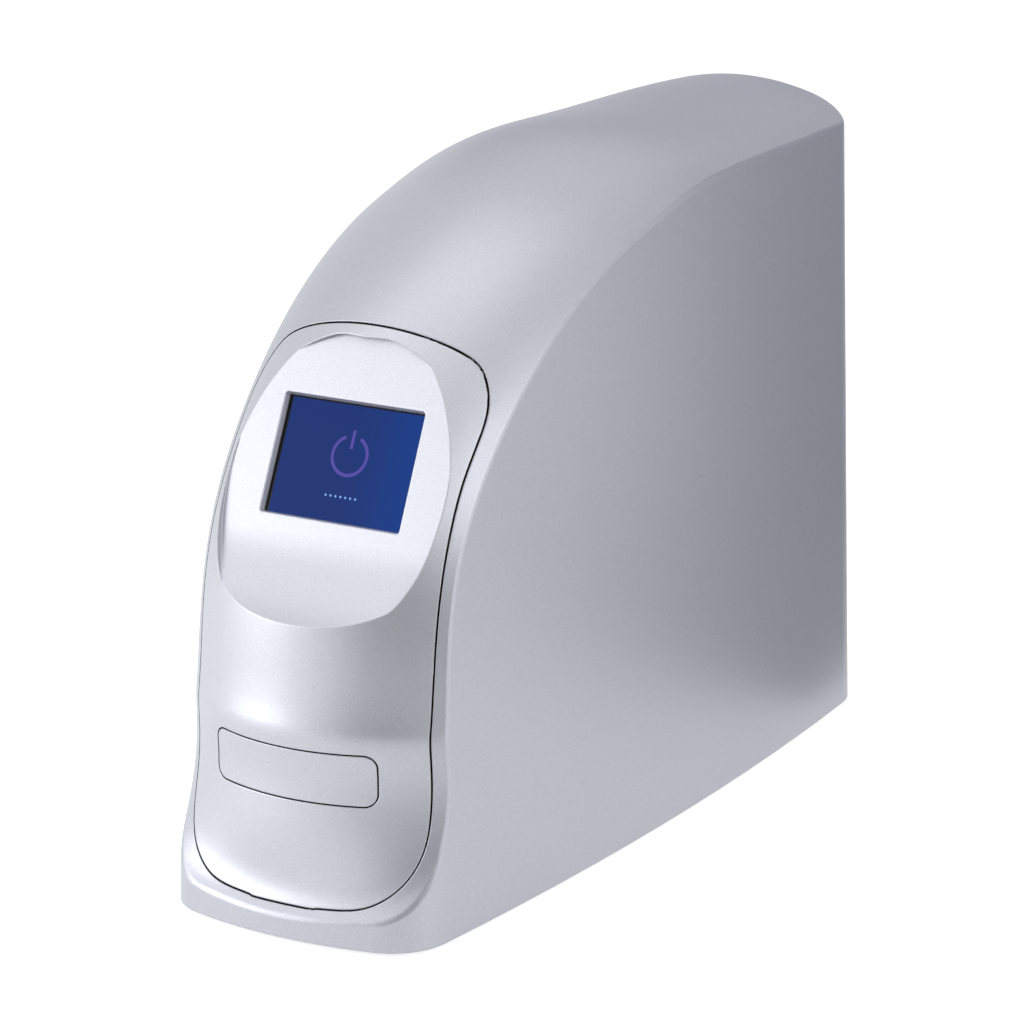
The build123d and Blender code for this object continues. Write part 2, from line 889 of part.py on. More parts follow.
with BuildPart() as pinion_shaft:
    rod_along_x(
        pinion_depth, pinion_height, pinion_shaft_radius,
        motor_right - motor_bore_depth + running_gap, pinion_left + pinion_width,
    )
pinion_shaft.part.label = "pinion_shaft"
export_step(pinion_shaft.part, "parts/pinion_shaft.step")

with BuildPart() as drawer_motor:
    rod_along_x(pinion_depth, pinion_height, drawer_motor_radius, motor_left, motor_right)
    rod_along_x(
        pinion_depth, pinion_height, pinion_shaft_radius + fit_gap,
        motor_right - motor_bore_depth, motor_right + overrun, Mode.SUBTRACT,
    )
drawer_motor.part.label = "drawer_motor"
export_step(drawer_motor.part, "parts/drawer_motor.step")

saddle_middle = (motor_left + motor_right) / 2
saddle_half = drawer_motor_radius + saddle_wall
with BuildPart() as motor_saddle:
    box(
        saddle_middle - saddle_length / 2, saddle_middle + saddle_length / 2,
        pinion_depth - saddle_half, pinion_depth + saddle_half, base_thickness, pinion_height,
    )
    box(
        saddle_middle - saddle_length / 2 + saddle_wall, saddle_middle + saddle_length / 2 - saddle_wall,
        pinion_depth - saddle_half - overrun, pinion_depth + saddle_half + overrun,
        base_thickness + saddle_wall, pinion_height - saddle_half, Mode.SUBTRACT,
    )
    rod_along_x(
        pinion_depth, pinion_height, drawer_motor_radius, saddle_middle - saddle_length,
        saddle_middle + saddle_length, Mode.SUBTRACT,
    )
motor_saddle.part.label = "motor_saddle"
export_step(motor_saddle.part, "parts/motor_saddle.step")

# Drawer rails: channels round the runners, carried by feet on the side frames
rail_inner = tray_outer + running_gap
rail_outer = runner_outer + running_gap + rail_sheet
rail_low = tray_lift + runner_lift - running_gap - rail_sheet
rail_high = tray_lift + runner_lift + runner_thickness + running_gap + rail_sheet
frame_inner = frame_half_width - frame_sheet
for name, side in (("left_rail", -1), ("right_rail", 1)):
    with BuildPart() as rail:
        inner, outer = sorted((side * rail_inner, side * rail_outer))
        box(inner, outer, rail_rear_depth, rail_front_depth, rail_low, rail_high)
        inner, outer = sorted((side * rail_inner, side * (runner_outer + running_gap)))
        box(
            inner, outer, rail_rear_depth + rail_sheet, rail_front_depth + overrun,
            rail_low + rail_sheet, rail_high - rail_sheet, Mode.SUBTRACT,
        )
        inner, outer = sorted((side * (rail_outer - fit_gap), side * frame_inner))
        for foot in (rail_rear_depth, frame_front_depth - rail_foot):
            box(inner, outer, foot, foot + rail_foot, rail_low, rail_high)
    rail.part.label = name
    export_step(rail.part, f"parts/{name}.step")

# Base plate with its feet and screws
frame_floor = base_thickness + frame_sheet
base_screw_places = [
    (x, depth)
    for x in (-frame_half_width / 2, frame_half_width / 2)
    for depth in (frame_rear_depth + rail_foot, frame_front_depth - rail_foot)
]
with BuildPart() as base_plate:
    add(housing_prism(shell_wall + seat_gap))
    box(
        -housing_length, housing_length, -overrun, housing_length + overrun,
        base_thickness, 2 * housing_length, Mode.SUBTRACT,
    )
    for x, depth in base_screw_places + list(boss_places()):
        post(x, depth, screw_radius + fit_gap, -overrun, overrun, Mode.SUBTRACT)
base_plate.part.label = "base_plate"
export_step(base_plate.part, "parts/base_plate.step")

with BuildPart() as feet:
    for depth in (foot_inset, housing_length - foot_inset):
        for x in (-foot_spread / 2, foot_spread / 2):
            post(x, depth, foot_radius, -foot_height, 0)
feet.part.label = "feet"
export_step(feet.part, "parts/feet.step")

# Side frames joined by a floor
frame_shelf = rail_low - rail_sheet
with BuildPart() as side_frames:
    box(
        -frame_half_width, frame_half_width, frame_rear_depth, frame_front_depth,
        base_thickness, frame_height,
    )
    box(
        -frame_inner, frame_inner, frame_rear_depth - overrun, frame_front_depth + overrun,
        frame_floor, frame_height + overrun, Mode.SUBTRACT,
    )
    box(
        -housing_length, housing_length, frame_rear_depth + frame_post_width,
        frame_front_depth - frame_post_width, frame_window_margin,
        frame_shelf - rail_sheet, Mode.SUBTRACT,
    )
    box(
        -housing_length, housing_length, mirror_depth - frame_post_width,
        rail_rear_depth, block_high + rail_sheet,
        frame_height - frame_post_width, Mode.SUBTRACT,
    )
    for x, depth in base_screw_places:
        post(x, depth, screw_radius, 0, frame_height, Mode.SUBTRACT)
side_frames.part.label = "side_frames"
export_step(side_frames.part, "parts/side_frames.step")


def cross_block(rear_depth, rod_hole, screw_hole):
    """A bearing block across the side frames, bored for the guide rods and the leadscrew."""
    front = rear_depth + block_thickness
    box(-frame_inner, frame_inner, rear_depth, front, block_low, block_high)
    for x in (-rod_span / 2, rod_span / 2):
        rod_along_y(
            x, rod_height, rod_hole, rear_depth - overrun, front + overrun, Mode.SUBTRACT
        )
    rod_along_y(
        0, rod_height, screw_hole, rear_depth - overrun, front + overrun, Mode.SUBTRACT
    )


# Scan drive: bearing blocks, guide rods and the leadscrew
front_block_rear = front_block_depth - block_thickness
shuttle_front = front_block_rear - shuttle_gap
shuttle_rear = shuttle_front - shuttle_length
rear_block_front = shuttle_rear - scan_travel - shuttle_gap
rear_block_rear = rear_block_front - block_thickness
with BuildPart() as bearing_blocks:
    cross_block(front_block_rear, rod_radius, leadscrew_radius + fit_gap)
    cross_block(rear_block_rear, rod_radius, leadscrew_radius + fit_gap)
bearing_blocks.part.label = "bearing_blocks"
export_step(bearing_blocks.part, "parts/bearing_blocks.step")

with BuildPart() as guide_rods:
    for x in (-rod_span / 2, rod_span / 2):
        rod_along_y(x, rod_height, rod_radius, rear_block_rear, front_block_depth)
guide_rods.part.label = "guide_rods"
export_step(guide_rods.part, "parts/guide_rods.step")

coupling_front = rear_block_rear - coupling_gap
coupling_rear = coupling_front - coupling_length
stepper_plate_front = coupling_rear - coupling_gap
stepper_front = stepper_plate_front - stepper_plate
with BuildPart() as leadscrew:
    rod_along_y(
        0, rod_height, leadscrew_radius, coupling_front - coupling_length / 2, front_block_depth
    )
leadscrew.part.label = "leadscrew"
export_step(leadscrew.part, "parts/leadscrew.step")

with BuildPart() as screw_coupling:
    rod_along_y(0, rod_height, coupling_radius, coupling_rear, coupling_front)
    coupling_middle = (coupling_front + coupling_rear) / 2
    rod_along_y(
        0, rod_height, leadscrew_radius, coupling_middle, coupling_front + overrun, Mode.SUBTRACT
    )
    rod_along_y(
        0, rod_height, stepper_shaft_radius, coupling_rear - overrun, coupling_middle,
        Mode.SUBTRACT,
    )
screw_coupling.part.label = "screw_coupling"
export_step(screw_coupling.part, "parts/screw_coupling.step")

with BuildPart() as stepper_shaft:
    rod_along_y(
        0, rod_height, stepper_shaft_radius, stepper_front - motor_bore_depth + running_gap,
        coupling_middle,
    )
stepper_shaft.part.label = "stepper_shaft"
export_step(stepper_shaft.part, "parts/stepper_shaft.step")

with BuildPart() as scan_stepper:
    box(
        -stepper_size / 2, stepper_size / 2, stepper_front - stepper_length, stepper_front,
        rod_height - stepper_size / 2, rod_height + stepper_size / 2,
    )
    chamfer(edges().filter_by(Axis.Y), coupling_gap)
    rod_along_y(
        0, rod_height, stepper_shaft_radius + fit_gap, stepper_front - motor_bore_depth,
        stepper_front + overrun, Mode.SUBTRACT,
    )
scan_stepper.part.label = "scan_stepper"
export_step(scan_stepper.part, "parts/scan_stepper.step")

with BuildPart() as stepper_bracket:
    box(
        -frame_inner, frame_inner, stepper_front, stepper_plate_front,
        rod_height - stepper_size / 2 - stepper_plate_margin,
        rod_height + stepper_size / 2 + stepper_plate_margin,
    )
    rod_along_y(
        0, rod_height, coupling_radius, stepper_front - overrun, stepper_plate_front + overrun,
        Mode.SUBTRACT,
    )
stepper_bracket.part.label = "stepper_bracket"
export_step(stepper_bracket.part, "parts/stepper_bracket.step")

# Shuttle with a finger that reaches under the optics to the carrier
bush_radius = rod_radius + bush_wall
magnet_front = carrier_rear_depth - fit_gap
finger_front = magnet_front - magnet_thickness
finger_low = carrier_low + running_gap
with BuildPart() as scan_shuttle:
    box(
        -shuttle_half_width, shuttle_half_width, shuttle_rear, shuttle_front,
        block_low, block_high,
    )
    box(
        -finger_width / 2, finger_width / 2, shuttle_rear, shuttle_rear + finger_root,
        finger_low, block_low,
    )
    box(
        -finger_width / 2, finger_width / 2, shuttle_rear, finger_front,
        finger_low, finger_low + finger_thickness,
    )
    for x in (-rod_span / 2, rod_span / 2):
        rod_along_y(
            x, rod_height, bush_radius, shuttle_rear - overrun, shuttle_front + overrun,
            Mode.SUBTRACT,
        )
    rod_along_y(
        0, rod_height, nut_radius, shuttle_rear - overrun, shuttle_front + overrun, Mode.SUBTRACT
    )
scan_shuttle.part.label = "scan_shuttle"
export_step(scan_shuttle.part, "parts/scan_shuttle.step")

with BuildPart() as shuttle_bushes:
    for x in (-rod_span / 2, rod_span / 2):
        rod_along_y(x, rod_height, bush_radius, shuttle_rear, shuttle_front)
        rod_along_y(
            x, rod_height, rod_radius + fit_gap, shuttle_rear - overrun,
            shuttle_front + overrun, Mode.SUBTRACT,
        )
shuttle_bushes.part.label = "shuttle_bushes"
export_step(shuttle_bushes.part, "parts/shuttle_bushes.step")

with BuildPart() as drive_nut:
    rod_along_y(0, rod_height, nut_radius, shuttle_rear, shuttle_front)
    rod_along_y(
        0, rod_height, leadscrew_radius + fit_gap, shuttle_rear - overrun,
        shuttle_front + overrun, Mode.SUBTRACT,
    )
drive_nut.part.label = "drive_nut"
export_step(drive_nut.part, "parts/drive_nut.step")

with BuildPart() as pull_magnet:
    box(
        -magnet_width / 2, magnet_width / 2, finger_front, magnet_front,
        finger_low, finger_low + magnet_size,
    )
pull_magnet.part.label = "pull_magnet"
export_step(pull_magnet.part, "parts/pull_magnet.step")

# Scan bed that carries the sled behind the drawer
bed_front_depth = carrier_rear_depth - running_gap
bed_half = carrier_half_width - running_gap
guide_front_depth = arm_rear_depth - running_gap
with BuildPart() as scan_bed:
    box(-bed_half, bed_half, bed_rear_depth, bed_front_depth, tray_lift, carrier_low)
    box(
        -finger_width / 2 - running_gap, finger_width / 2 + running_gap, bed_rear_depth,
        bed_front_depth, carrier_low - running_gap, carrier_high, Mode.SUBTRACT,
    )
    for side in (-1, 1):
        inner, outer = sorted((side * tray_inner, side * (tray_inner + bed_wall)))
        box(inner, outer, bed_rear_depth, guide_front_depth - bed_wall, tray_lift, carrier_high)
        inner, outer = sorted((side * (bed_half - fit_gap), side * tray_inner))
        box(
            inner, outer, bed_rear_depth, guide_front_depth - bed_wall, tray_lift,
            carrier_low - running_gap,
        )
    leg_high = rack_tip - running_gap
    for depth in (bed_rear_depth, bed_front_depth - bed_leg - bed_wall):
        box(-frame_inner, frame_inner, depth, depth + bed_leg, frame_shelf - bed_leg, leg_high)
        box(
            -bed_riser_width / 2, bed_riser_width / 2, depth, depth + bed_leg,
            leg_high - fit_gap, tray_lift,
        )
scan_bed.part.label = "scan_bed"
export_step(scan_bed.part, "parts/scan_bed.step")

# Optical bench with a slot for the scan line and a hole for the light tube
bench_low = frame_height
bench_high = bench_low + bench_thickness
beam_height = bench_high + beam_lift
collector_low = carrier_high + collector_lift
lean_in = math.radians(collector_lean)
collector_depth = scan_depth + collector_lead
collector_axis = Plane(
    origin=(0, y_at(collector_depth), z_at(collector_low)),
    x_dir=(1, 0, 0),
    z_dir=(0, -math.sin(lean_in), math.cos(lean_in)),
)
tube_start = collector_rise + filter_thickness
with BuildPart() as optical_bench:
    box(
        -bench_half_width, bench_half_width, bench_rear_depth, frame_front_depth,
        bench_low, bench_high,
    )
    box(
        -slot_length / 2, slot_length / 2, scan_depth - slot_width / 2,
        scan_depth + slot_width / 2, bench_low - overrun, bench_high + overrun, Mode.SUBTRACT,
    )
    post(
        0, mirror_depth, galvo_radius + fit_gap, bench_low - overrun, bench_high + overrun,
        Mode.SUBTRACT,
    )
    with BuildSketch(collector_axis.offset(tube_start)):
        Circle(tube_radius + tube_hole_gap)
    extrude(amount=tube_length, mode=Mode.SUBTRACT)
optical_bench.part.label = "optical_bench"
export_step(optical_bench.part, "parts/optical_bench.step")

# Light collector, filter and photomultiplier tube
with BuildPart() as light_collector:
    with BuildSketch(Plane(
        origin=(0, y_at(collector_depth), z_at(collector_low)), x_dir=(1, 0, 0), z_dir=(0, 0, 1)
    )):
        Rectangle(collector_line, collector_foot)
    with BuildSketch(collector_axis.offset(collector_rise)):
        Rectangle(collector_top, collector_top)
    loft()
light_collector.part.label = "light_collector"
export_step(light_collector.part, "parts/light_collector.step")

with BuildPart() as blue_filter:
    with BuildSketch(collector_axis.offset(collector_rise)):
        Rectangle(collector_top, collector_top)
    extrude(amount=filter_thickness)
blue_filter.part.label = "blue_filter"
export_step(blue_filter.part, "parts/blue_filter.step")

with BuildPart() as light_tube:
    with BuildSketch(collector_axis.offset(tube_start)):
        Circle(tube_radius)
    extrude(amount=tube_length)
light_tube.part.label = "light_tube"
export_step(light_tube.part, "parts/light_tube.step")

# Laser, scanning mirror, lens and fold mirror
with BuildPart() as laser_module:
    laser_half = laser_size / 2
    box(
        laser_distance, laser_distance + laser_length, mirror_depth - laser_half,
        mirror_depth + laser_half, bench_high, beam_height + laser_half,
    )
    rod_along_x(
        mirror_depth, beam_height, laser_nose_radius, laser_distance - laser_nose, laser_distance
    )
laser_module.part.label = "laser_module"
export_step(laser_module.part, "parts/laser_module.step")

flange_high = bench_high + galvo_flange
mirror_low = beam_height - mirror_height / 2
with BuildPart() as mirror_motor:
    post(0, mirror_depth, galvo_radius, bench_high - galvo_length, bench_high)
    post(0, mirror_depth, galvo_flange_radius, bench_high, flange_high)
    post(
        0, mirror_depth, mirror_shaft_radius + fit_gap, flange_high - motor_bore_depth,
        flange_high + overrun, Mode.SUBTRACT,
    )
mirror_motor.part.label = "mirror_motor"
export_step(mirror_motor.part, "parts/mirror_motor.step")

with BuildPart() as scan_mirror:
    post(
        0, mirror_depth, mirror_shaft_radius, flange_high - motor_bore_depth + running_gap,
        mirror_low + mirror_shaft_radius,
    )
    with Locations(Location((0, y_at(mirror_depth), z_at(beam_height)), (0, 0, fold_turn))):
        Box(mirror_width, mirror_thickness, mirror_height)
scan_mirror.part.label = "scan_mirror"
export_step(scan_mirror.part, "parts/scan_mirror.step")

bulge = lens_face_radius - math.sqrt(lens_face_radius**2 - (lens_width / 2) ** 2)
with BuildPart() as scan_lens:
    with BuildSketch(Plane.XY.offset(z_at(bench_high + lens_cell))):
        with Locations((0, y_at(lens_depth))):
            Rectangle(lens_width, lens_edge)
        with BuildLine():
            front_edge = y_at(lens_depth) - lens_edge / 2
            Line((-lens_width / 2, front_edge), (lens_width / 2, front_edge))
            ThreePointArc(
                (lens_width / 2, front_edge), (0, front_edge - bulge), (-lens_width / 2, front_edge)
            )
        make_face()
    extrude(amount=lens_height)
scan_lens.part.label = "scan_lens"
export_step(scan_lens.part, "parts/scan_lens.step")

with BuildPart() as lens_cradle:
    reach = lens_width / 2 + lens_cell
    cradle_rear = lens_depth - lens_edge / 2 - lens_cell
    box(-reach, reach, cradle_rear, lens_depth + lens_edge / 2 + bulge, bench_high, bench_high + lens_cell)
    for side in (-1, 1):
        inner, outer = sorted((side * lens_width / 2, side * reach))
        box(
            inner, outer, cradle_rear, lens_depth + lens_edge / 2, bench_high,
            bench_high + lens_cell + lens_height,
        )
lens_cradle.part.label = "lens_cradle"
export_step(lens_cradle.part, "parts/lens_cradle.step")

fold_place = Location((0, y_at(scan_depth), z_at(beam_height)), (fold_turn, 0, 0))
with BuildPart() as fold_mirror:
    with Locations(fold_place):
        with Locations((0, 0, fold_thickness / 2)):
            Box(fold_width, fold_height, fold_thickness)
fold_mirror.part.label = "fold_mirror"
export_step(fold_mirror.part, "parts/fold_mirror.step")

with BuildPart() as fold_bracket:
    with Locations(fold_place):
        with Locations((0, 0, fold_thickness + fold_plate / 2)):
            Box(fold_width + 2 * fold_cheek, fold_height, fold_plate)
    for side in (-1, 1):
        inner, outer = sorted((side * fold_width / 2, side * (fold_width / 2 + fold_cheek)))
        box(
            inner, outer, scan_depth - fold_cheek_reach, scan_depth + fold_cheek_reach,
            bench_high, beam_height + fold_height / 2,
        )
fold_bracket.part.label = "fold_bracket"
export_step(fold_bracket.part, "parts/fold_bracket.step")

# Erase lamps on a bar over the drawer
with BuildPart() as erase_bar:
    box(
        -frame_inner, frame_inner, erase_depth, erase_depth + erase_length,
        erase_lift, erase_lift + erase_height,
    )
erase_bar.part.label = "erase_bar"
export_step(erase_bar.part, "parts/erase_bar.step")

with BuildPart() as erase_lamps:
    for lamp in range(erase_lamp_count):
        x = (lamp - (erase_lamp_count - 1) / 2) * erase_lamp_pitch
        post(
            x, erase_depth + erase_length / 2, erase_lamp_radius,
            erase_lift - erase_lamp_height, erase_lift,
        )
erase_lamps.part.label = "erase_lamps"
export_step(erase_lamps.part, "parts/erase_lamps.step")

# Main board above the frame's floor
main_low = frame_floor + main_board_lift
with BuildPart() as main_board:
    box(
        -main_board_width / 2, main_board_width / 2, main_board_depth - main_board_length / 2,
        main_board_depth + main_board_length / 2, main_low, main_low + board_thickness,
    )
main_board.part.label = "main_board"
export_step(main_board.part, "parts/main_board.step")

# Power board on the left side frame
power_right = -frame_half_width - power_board_gap
power_left = power_right - board_thickness
power_high = power_board_low + power_board_height
power_middle = (power_board_low + power_high) / 2
with BuildPart() as power_board:
    box(
        power_left, power_right, power_board_depth - power_board_length / 2,
        power_board_depth + power_board_length / 2, power_board_low, power_high,
    )
power_board.part.label = "power_board"
export_step(power_board.part, "parts/power_board.step")

# Rear panel behind the window, with its grille, vents and openings
panel_front = shell_wall + panel_thickness
socket_floor = interface_board_height + board_thickness
socket_sizes = (
    (power_socket_x, power_socket_width, power_socket_height),
    (usb_x, usb_width, usb_height),
    (network_x, network_width, network_height),
)
with BuildPart() as rear_panel:
    panel_half = panel_window_width / 2 + panel_overlap
    box(
        -panel_half, panel_half, shell_wall, panel_front, base_thickness,
        panel_window_high + panel_overlap,
    )
    with BuildSketch(Plane.XZ.offset(-y_at(shell_wall))):
        with Locations((0, z_at(fan_height))):
            with HexLocations(grille_pitch / 2, grille_rows, grille_rows, major_radius=False) as holes:
                kept = [
                    place
                    for place in holes.locations
                    if math.hypot(place.position.X, place.position.Z - z_at(fan_height))
                    < fan_bore_radius - grille_hole_radius
                ]
        with Locations(*[(place.position.X, place.position.Z) for place in kept]):
            Circle(grille_hole_radius)
    extrude(amount=panel_thickness, mode=Mode.SUBTRACT)
    for vent in range(vent_count):
        low = vent_low + vent * vent_pitch
        box(
            -vent_width / 2, vent_width / 2, shell_wall - fit_gap, panel_front + fit_gap,
            low, low + vent_height, Mode.SUBTRACT,
        )
    for x, wide, high in socket_sizes:
        box(
            x - wide / 2 - running_gap, x + wide / 2 + running_gap, shell_wall - fit_gap,
            panel_front + fit_gap, socket_floor - running_gap,
            socket_floor + high + running_gap, Mode.SUBTRACT,
        )
    box(
        -switch_width / 2, switch_width / 2, shell_wall - fit_gap, panel_front + fit_gap,
        switch_centre_height - switch_height / 2, switch_centre_height + switch_height / 2,
        Mode.SUBTRACT,
    )
    for x, height in panel_screw_places():
        rod_along_y(x, height, screw_radius, shell_wall - overrun, panel_front + overrun, Mode.SUBTRACT)
rear_panel.part.label = "rear_panel"
export_step(rear_panel.part, "parts/rear_panel.step")

# Fan frame and rotor
fan_front = panel_front + fan_thickness
with BuildPart() as fan_frame:
    box(
        -fan_size / 2, fan_size / 2, panel_front, fan_front,
        fan_height - fan_size / 2, fan_height + fan_size / 2,
    )
    rod_along_y(0, fan_height, fan_bore_radius, panel_front - overrun, fan_front + overrun, Mode.SUBTRACT)
    box(
        -fan_bore_radius - fan_tip_gap, fan_bore_radius + fan_tip_gap, fan_front - fan_hub_plate,
        fan_front, fan_height - fan_strut / 2, fan_height + fan_strut / 2,
    )
    box(
        -fan_strut / 2, fan_strut / 2, fan_front - fan_hub_plate, fan_front,
        fan_height - fan_bore_radius - fan_tip_gap, fan_height + fan_bore_radius + fan_tip_gap,
    )
    rod_along_y(0, fan_height, fan_hub_radius, fan_front - fan_hub_plate, fan_front)
    rod_along_y(
        0, fan_height, fan_axle_radius, fan_front - fan_thickness / 2, fan_front - fan_hub_plate
    )
fan_frame.part.label = "fan_frame"
export_step(fan_frame.part, "parts/fan_frame.step")

rotor_front = fan_front - fan_hub_plate - running_gap
rotor_rear = panel_front + fan_tip_gap
with BuildPart() as fan_rotor:
    rod_along_y(0, fan_height, fan_hub_radius, rotor_rear, rotor_front)
    rotor_middle = (rotor_front + rotor_rear) / 2
    blade_reach = fan_bore_radius - fan_tip_gap
    for blade in range(fan_blades):
        turn = blade * 360 / fan_blades
        hub = Location((0, y_at(rotor_middle), z_at(fan_height)), (0, turn, 0))
        blade_middle = (fan_hub_radius + blade_reach) / 2 - fan_tip_gap
        with Locations(hub * Location((0, 0, blade_middle), (0, 0, fan_blade_pitch))):
            Box(fan_blade_thickness, fan_thickness - 2 * fan_hub_plate, blade_reach - fan_hub_radius)
    rod_along_y(
        0, fan_height, fan_axle_radius + fit_gap, fan_front - fan_thickness / 2 - running_gap,
        rotor_front + overrun, Mode.SUBTRACT,
    )
fan_rotor.part.label = "fan_rotor"
export_step(fan_rotor.part, "parts/fan_rotor.step")

# Power switch: frame and rocker
switch_low = switch_centre_height - switch_height / 2
switch_high = switch_centre_height + switch_height / 2
rocker_depth = shell_wall + rocker_length / 2
with BuildPart() as switch_frame:
    box(
        -switch_width / 2, switch_width / 2, shell_wall, shell_wall + switch_length,
        switch_low, switch_high,
    )
    box(
        -switch_width / 2 + switch_wall, switch_width / 2 - switch_wall,
        shell_wall - overrun, shell_wall + switch_length - switch_wall,
        switch_low + switch_wall, switch_high - switch_wall, Mode.SUBTRACT,
    )
    rod_along_x(
        rocker_depth, switch_centre_height, rocker_axle_radius + fit_gap,
        -switch_width / 2 + switch_wall / 3, switch_width / 2 - switch_wall / 3, Mode.SUBTRACT,
    )
switch_frame.part.label = "switch_frame"
export_step(switch_frame.part, "parts/switch_frame.step")

with BuildPart() as power_rocker:
    rocker_half = switch_width / 2 - switch_wall - rocker_gap
    rocker_tall = switch_height / 2 - switch_wall - rocker_gap - rocker_length * math.tan(
        math.radians(rocker_swing)
    ) / 2
    with BuildSketch(Plane.YZ.offset(-rocker_half)):
        with BuildLine():
            face_y = y_at(shell_wall)
            back_y = y_at(shell_wall + rocker_length)
            dip = rocker_tall * math.tan(math.radians(rocker_swing))
            low_z = z_at(switch_centre_height) - rocker_tall
            high_z = z_at(switch_centre_height) + rocker_tall
            Polyline(
                (face_y, low_z), (face_y - dip, z_at(switch_centre_height)), (face_y, high_z),
                (back_y, high_z), (back_y, low_z), close=True,
            )
        make_face()
    extrude(amount=2 * rocker_half)
    rod_along_x(
        rocker_depth, switch_centre_height, rocker_axle_radius, -switch_width / 2 + switch_wall / 2,
        switch_width / 2 - switch_wall / 2,
    )
power_rocker.part.label = "power_rocker"
export_step(power_rocker.part, "parts/power_rocker.step")

# Interface board with the power, data and network sockets
with BuildPart() as interface_board:
    box(
        -interface_board_width / 2, interface_board_width / 2, panel_front + running_gap,
        panel_front + running_gap + interface_board_length, interface_board_height, socket_floor,
    )
interface_board.part.label = "interface_board"
export_step(interface_board.part, "parts/interface_board.step")

with BuildPart() as power_socket:
    box(
        power_socket_x - power_socket_width / 2, power_socket_x + power_socket_width / 2,
        shell_wall, shell_wall + power_socket_length, socket_floor,
        socket_floor + power_socket_height,
    )
    socket_middle = socket_floor + power_socket_height / 2
    rod_along_y(
        power_socket_x, socket_middle, power_socket_bore_radius, shell_wall - overrun,
        shell_wall + power_socket_hole, Mode.SUBTRACT,
    )
    rod_along_y(
        power_socket_x, socket_middle, power_socket_pin_radius, shell_wall + power_socket_pin_radius,
        shell_wall + power_socket_hole,
    )
power_socket.part.label = "power_socket"
export_step(power_socket.part, "parts/power_socket.step")

with BuildPart() as usb_socket:
    box(
        usb_x - usb_width / 2, usb_x + usb_width / 2, shell_wall, shell_wall + usb_length,
        socket_floor, socket_floor + usb_height,
    )
    box(
        usb_x - usb_width / 2 + usb_wall, usb_x + usb_width / 2 - usb_wall,
        shell_wall - overrun, shell_wall + usb_hole, socket_floor + usb_wall,
        socket_floor + usb_height - usb_wall, Mode.SUBTRACT,
    )
    tongue_middle = socket_floor + usb_height / 2
    box(
        usb_x - usb_tongue_width / 2, usb_x + usb_tongue_width / 2, shell_wall + usb_wall,
        shell_wall + usb_hole, tongue_middle - usb_tongue_height / 2,
        tongue_middle + usb_tongue_height / 2,
    )
usb_socket.part.label = "usb_socket"
export_step(usb_socket.part, "parts/usb_socket.step")

with BuildPart() as network_socket:
    box(
        network_x - network_width / 2, network_x + network_width / 2, shell_wall,
        shell_wall + network_length, socket_floor, socket_floor + network_height,
    )
    box(
        network_x - network_width / 2 + network_wall, network_x + network_width / 2 - network_wall,
        shell_wall - overrun, shell_wall + network_hole, socket_floor + network_wall,
        socket_floor + network_height - network_wall, Mode.SUBTRACT,
    )
network_socket.part.label = "network_socket"
export_step(network_socket.part, "parts/network_socket.step")

# Components on the three boards, the posts that carry the boards, and all the screws
with BuildPart() as board_components:
    with BuildSketch(behind_facet(board_front)):
        Rectangle(display_board_width / 4, display_board_height / 4)
        with Locations((display_board_width / 4, 0)):
            Rectangle(display_board_width / 8, display_board_height / 6)
    extrude(amount=display_chip_height)
    for x_share, depth_share, wide_share, long_share, high_share in main_chip_shares:
        x = x_share * main_board_width
        depth = main_board_depth + depth_share * main_board_length
        wide = wide_share * main_board_width / 2
        long = long_share * main_board_length / 2
        box(
            x - wide, x + wide, depth - long, depth + long, main_low + board_thickness,
            main_low + board_thickness + high_share * main_chip_height,
        )
    for depth_share, height_share, long_share, high_share, tall_share in power_chip_shares:
        depth = power_board_depth + depth_share * power_board_length
        height = power_middle + height_share * power_board_height
        long = long_share * power_board_length / 2
        high = high_share * power_board_height / 2
        box(
            power_left - tall_share * power_chip_height, power_left,
            depth - long, depth + long, height - high, height + high,
        )
board_components.part.label = "board_components"
export_step(board_components.part, "parts/board_components.step")

with BuildPart() as board_posts:
    for side_x in (-1, 1):
        for side_y in (-1, 1):
            post(
                side_x * (main_board_width / 2 - standoff_inset),
                main_board_depth + side_y * (main_board_length / 2 - standoff_inset),
                standoff_radius, frame_floor, main_low,
            )
    for side in (-1, 1):
        rod_along_x(
            power_board_depth + side * (power_board_length / 2 - standoff_inset),
            power_board_low + standoff_radius, standoff_radius, power_right, -frame_half_width,
        )
        rod_along_x(
            power_board_depth + side * (power_board_length / 2 - standoff_inset),
            power_high - standoff_radius, standoff_radius, power_right, -frame_half_width,
        )
    for side in (-1, 1):
        for depth in (
            panel_front + running_gap + standoff_inset,
            panel_front + running_gap + interface_board_length - standoff_inset,
        ):
            post(
                side * (interface_board_width / 2 - standoff_inset), depth, standoff_radius,
                base_thickness, interface_board_height,
            )
board_posts.part.label = "board_posts"
export_step(board_posts.part, "parts/board_posts.step")

with BuildPart() as screws:
    for x, depth in base_screw_places:
        post(x, depth, screw_head_radius, -screw_head_height, 0)
        post(x, depth, screw_radius, 0, frame_floor)
    for x, depth in boss_places():
        post(x, depth, screw_head_radius, -screw_head_height, 0)
        post(x, depth, screw_radius, 0, boss_height * 2 / 3)
    for x, height in panel_screw_places():
        rod_along_y(x, height, screw_head_radius, 0, screw_head_height)
        rod_along_y(x, height, screw_radius, screw_head_height, panel_front)
    with BuildSketch(behind_facet(board_back)):
        with display_posts:
            Circle(screw_head_radius)
    extrude(amount=-screw_head_height)
    with BuildSketch(behind_facet(board_back)):
        with display_posts:
            Circle(screw_radius - fit_gap)
    extrude(amount=board_thickness)
screws.part.label = "screws"
export_step(screws.part, "parts/screws.step")
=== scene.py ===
"""Studio picture of a desktop scanner for phosphor image plates, dressed over its CAD frame."""

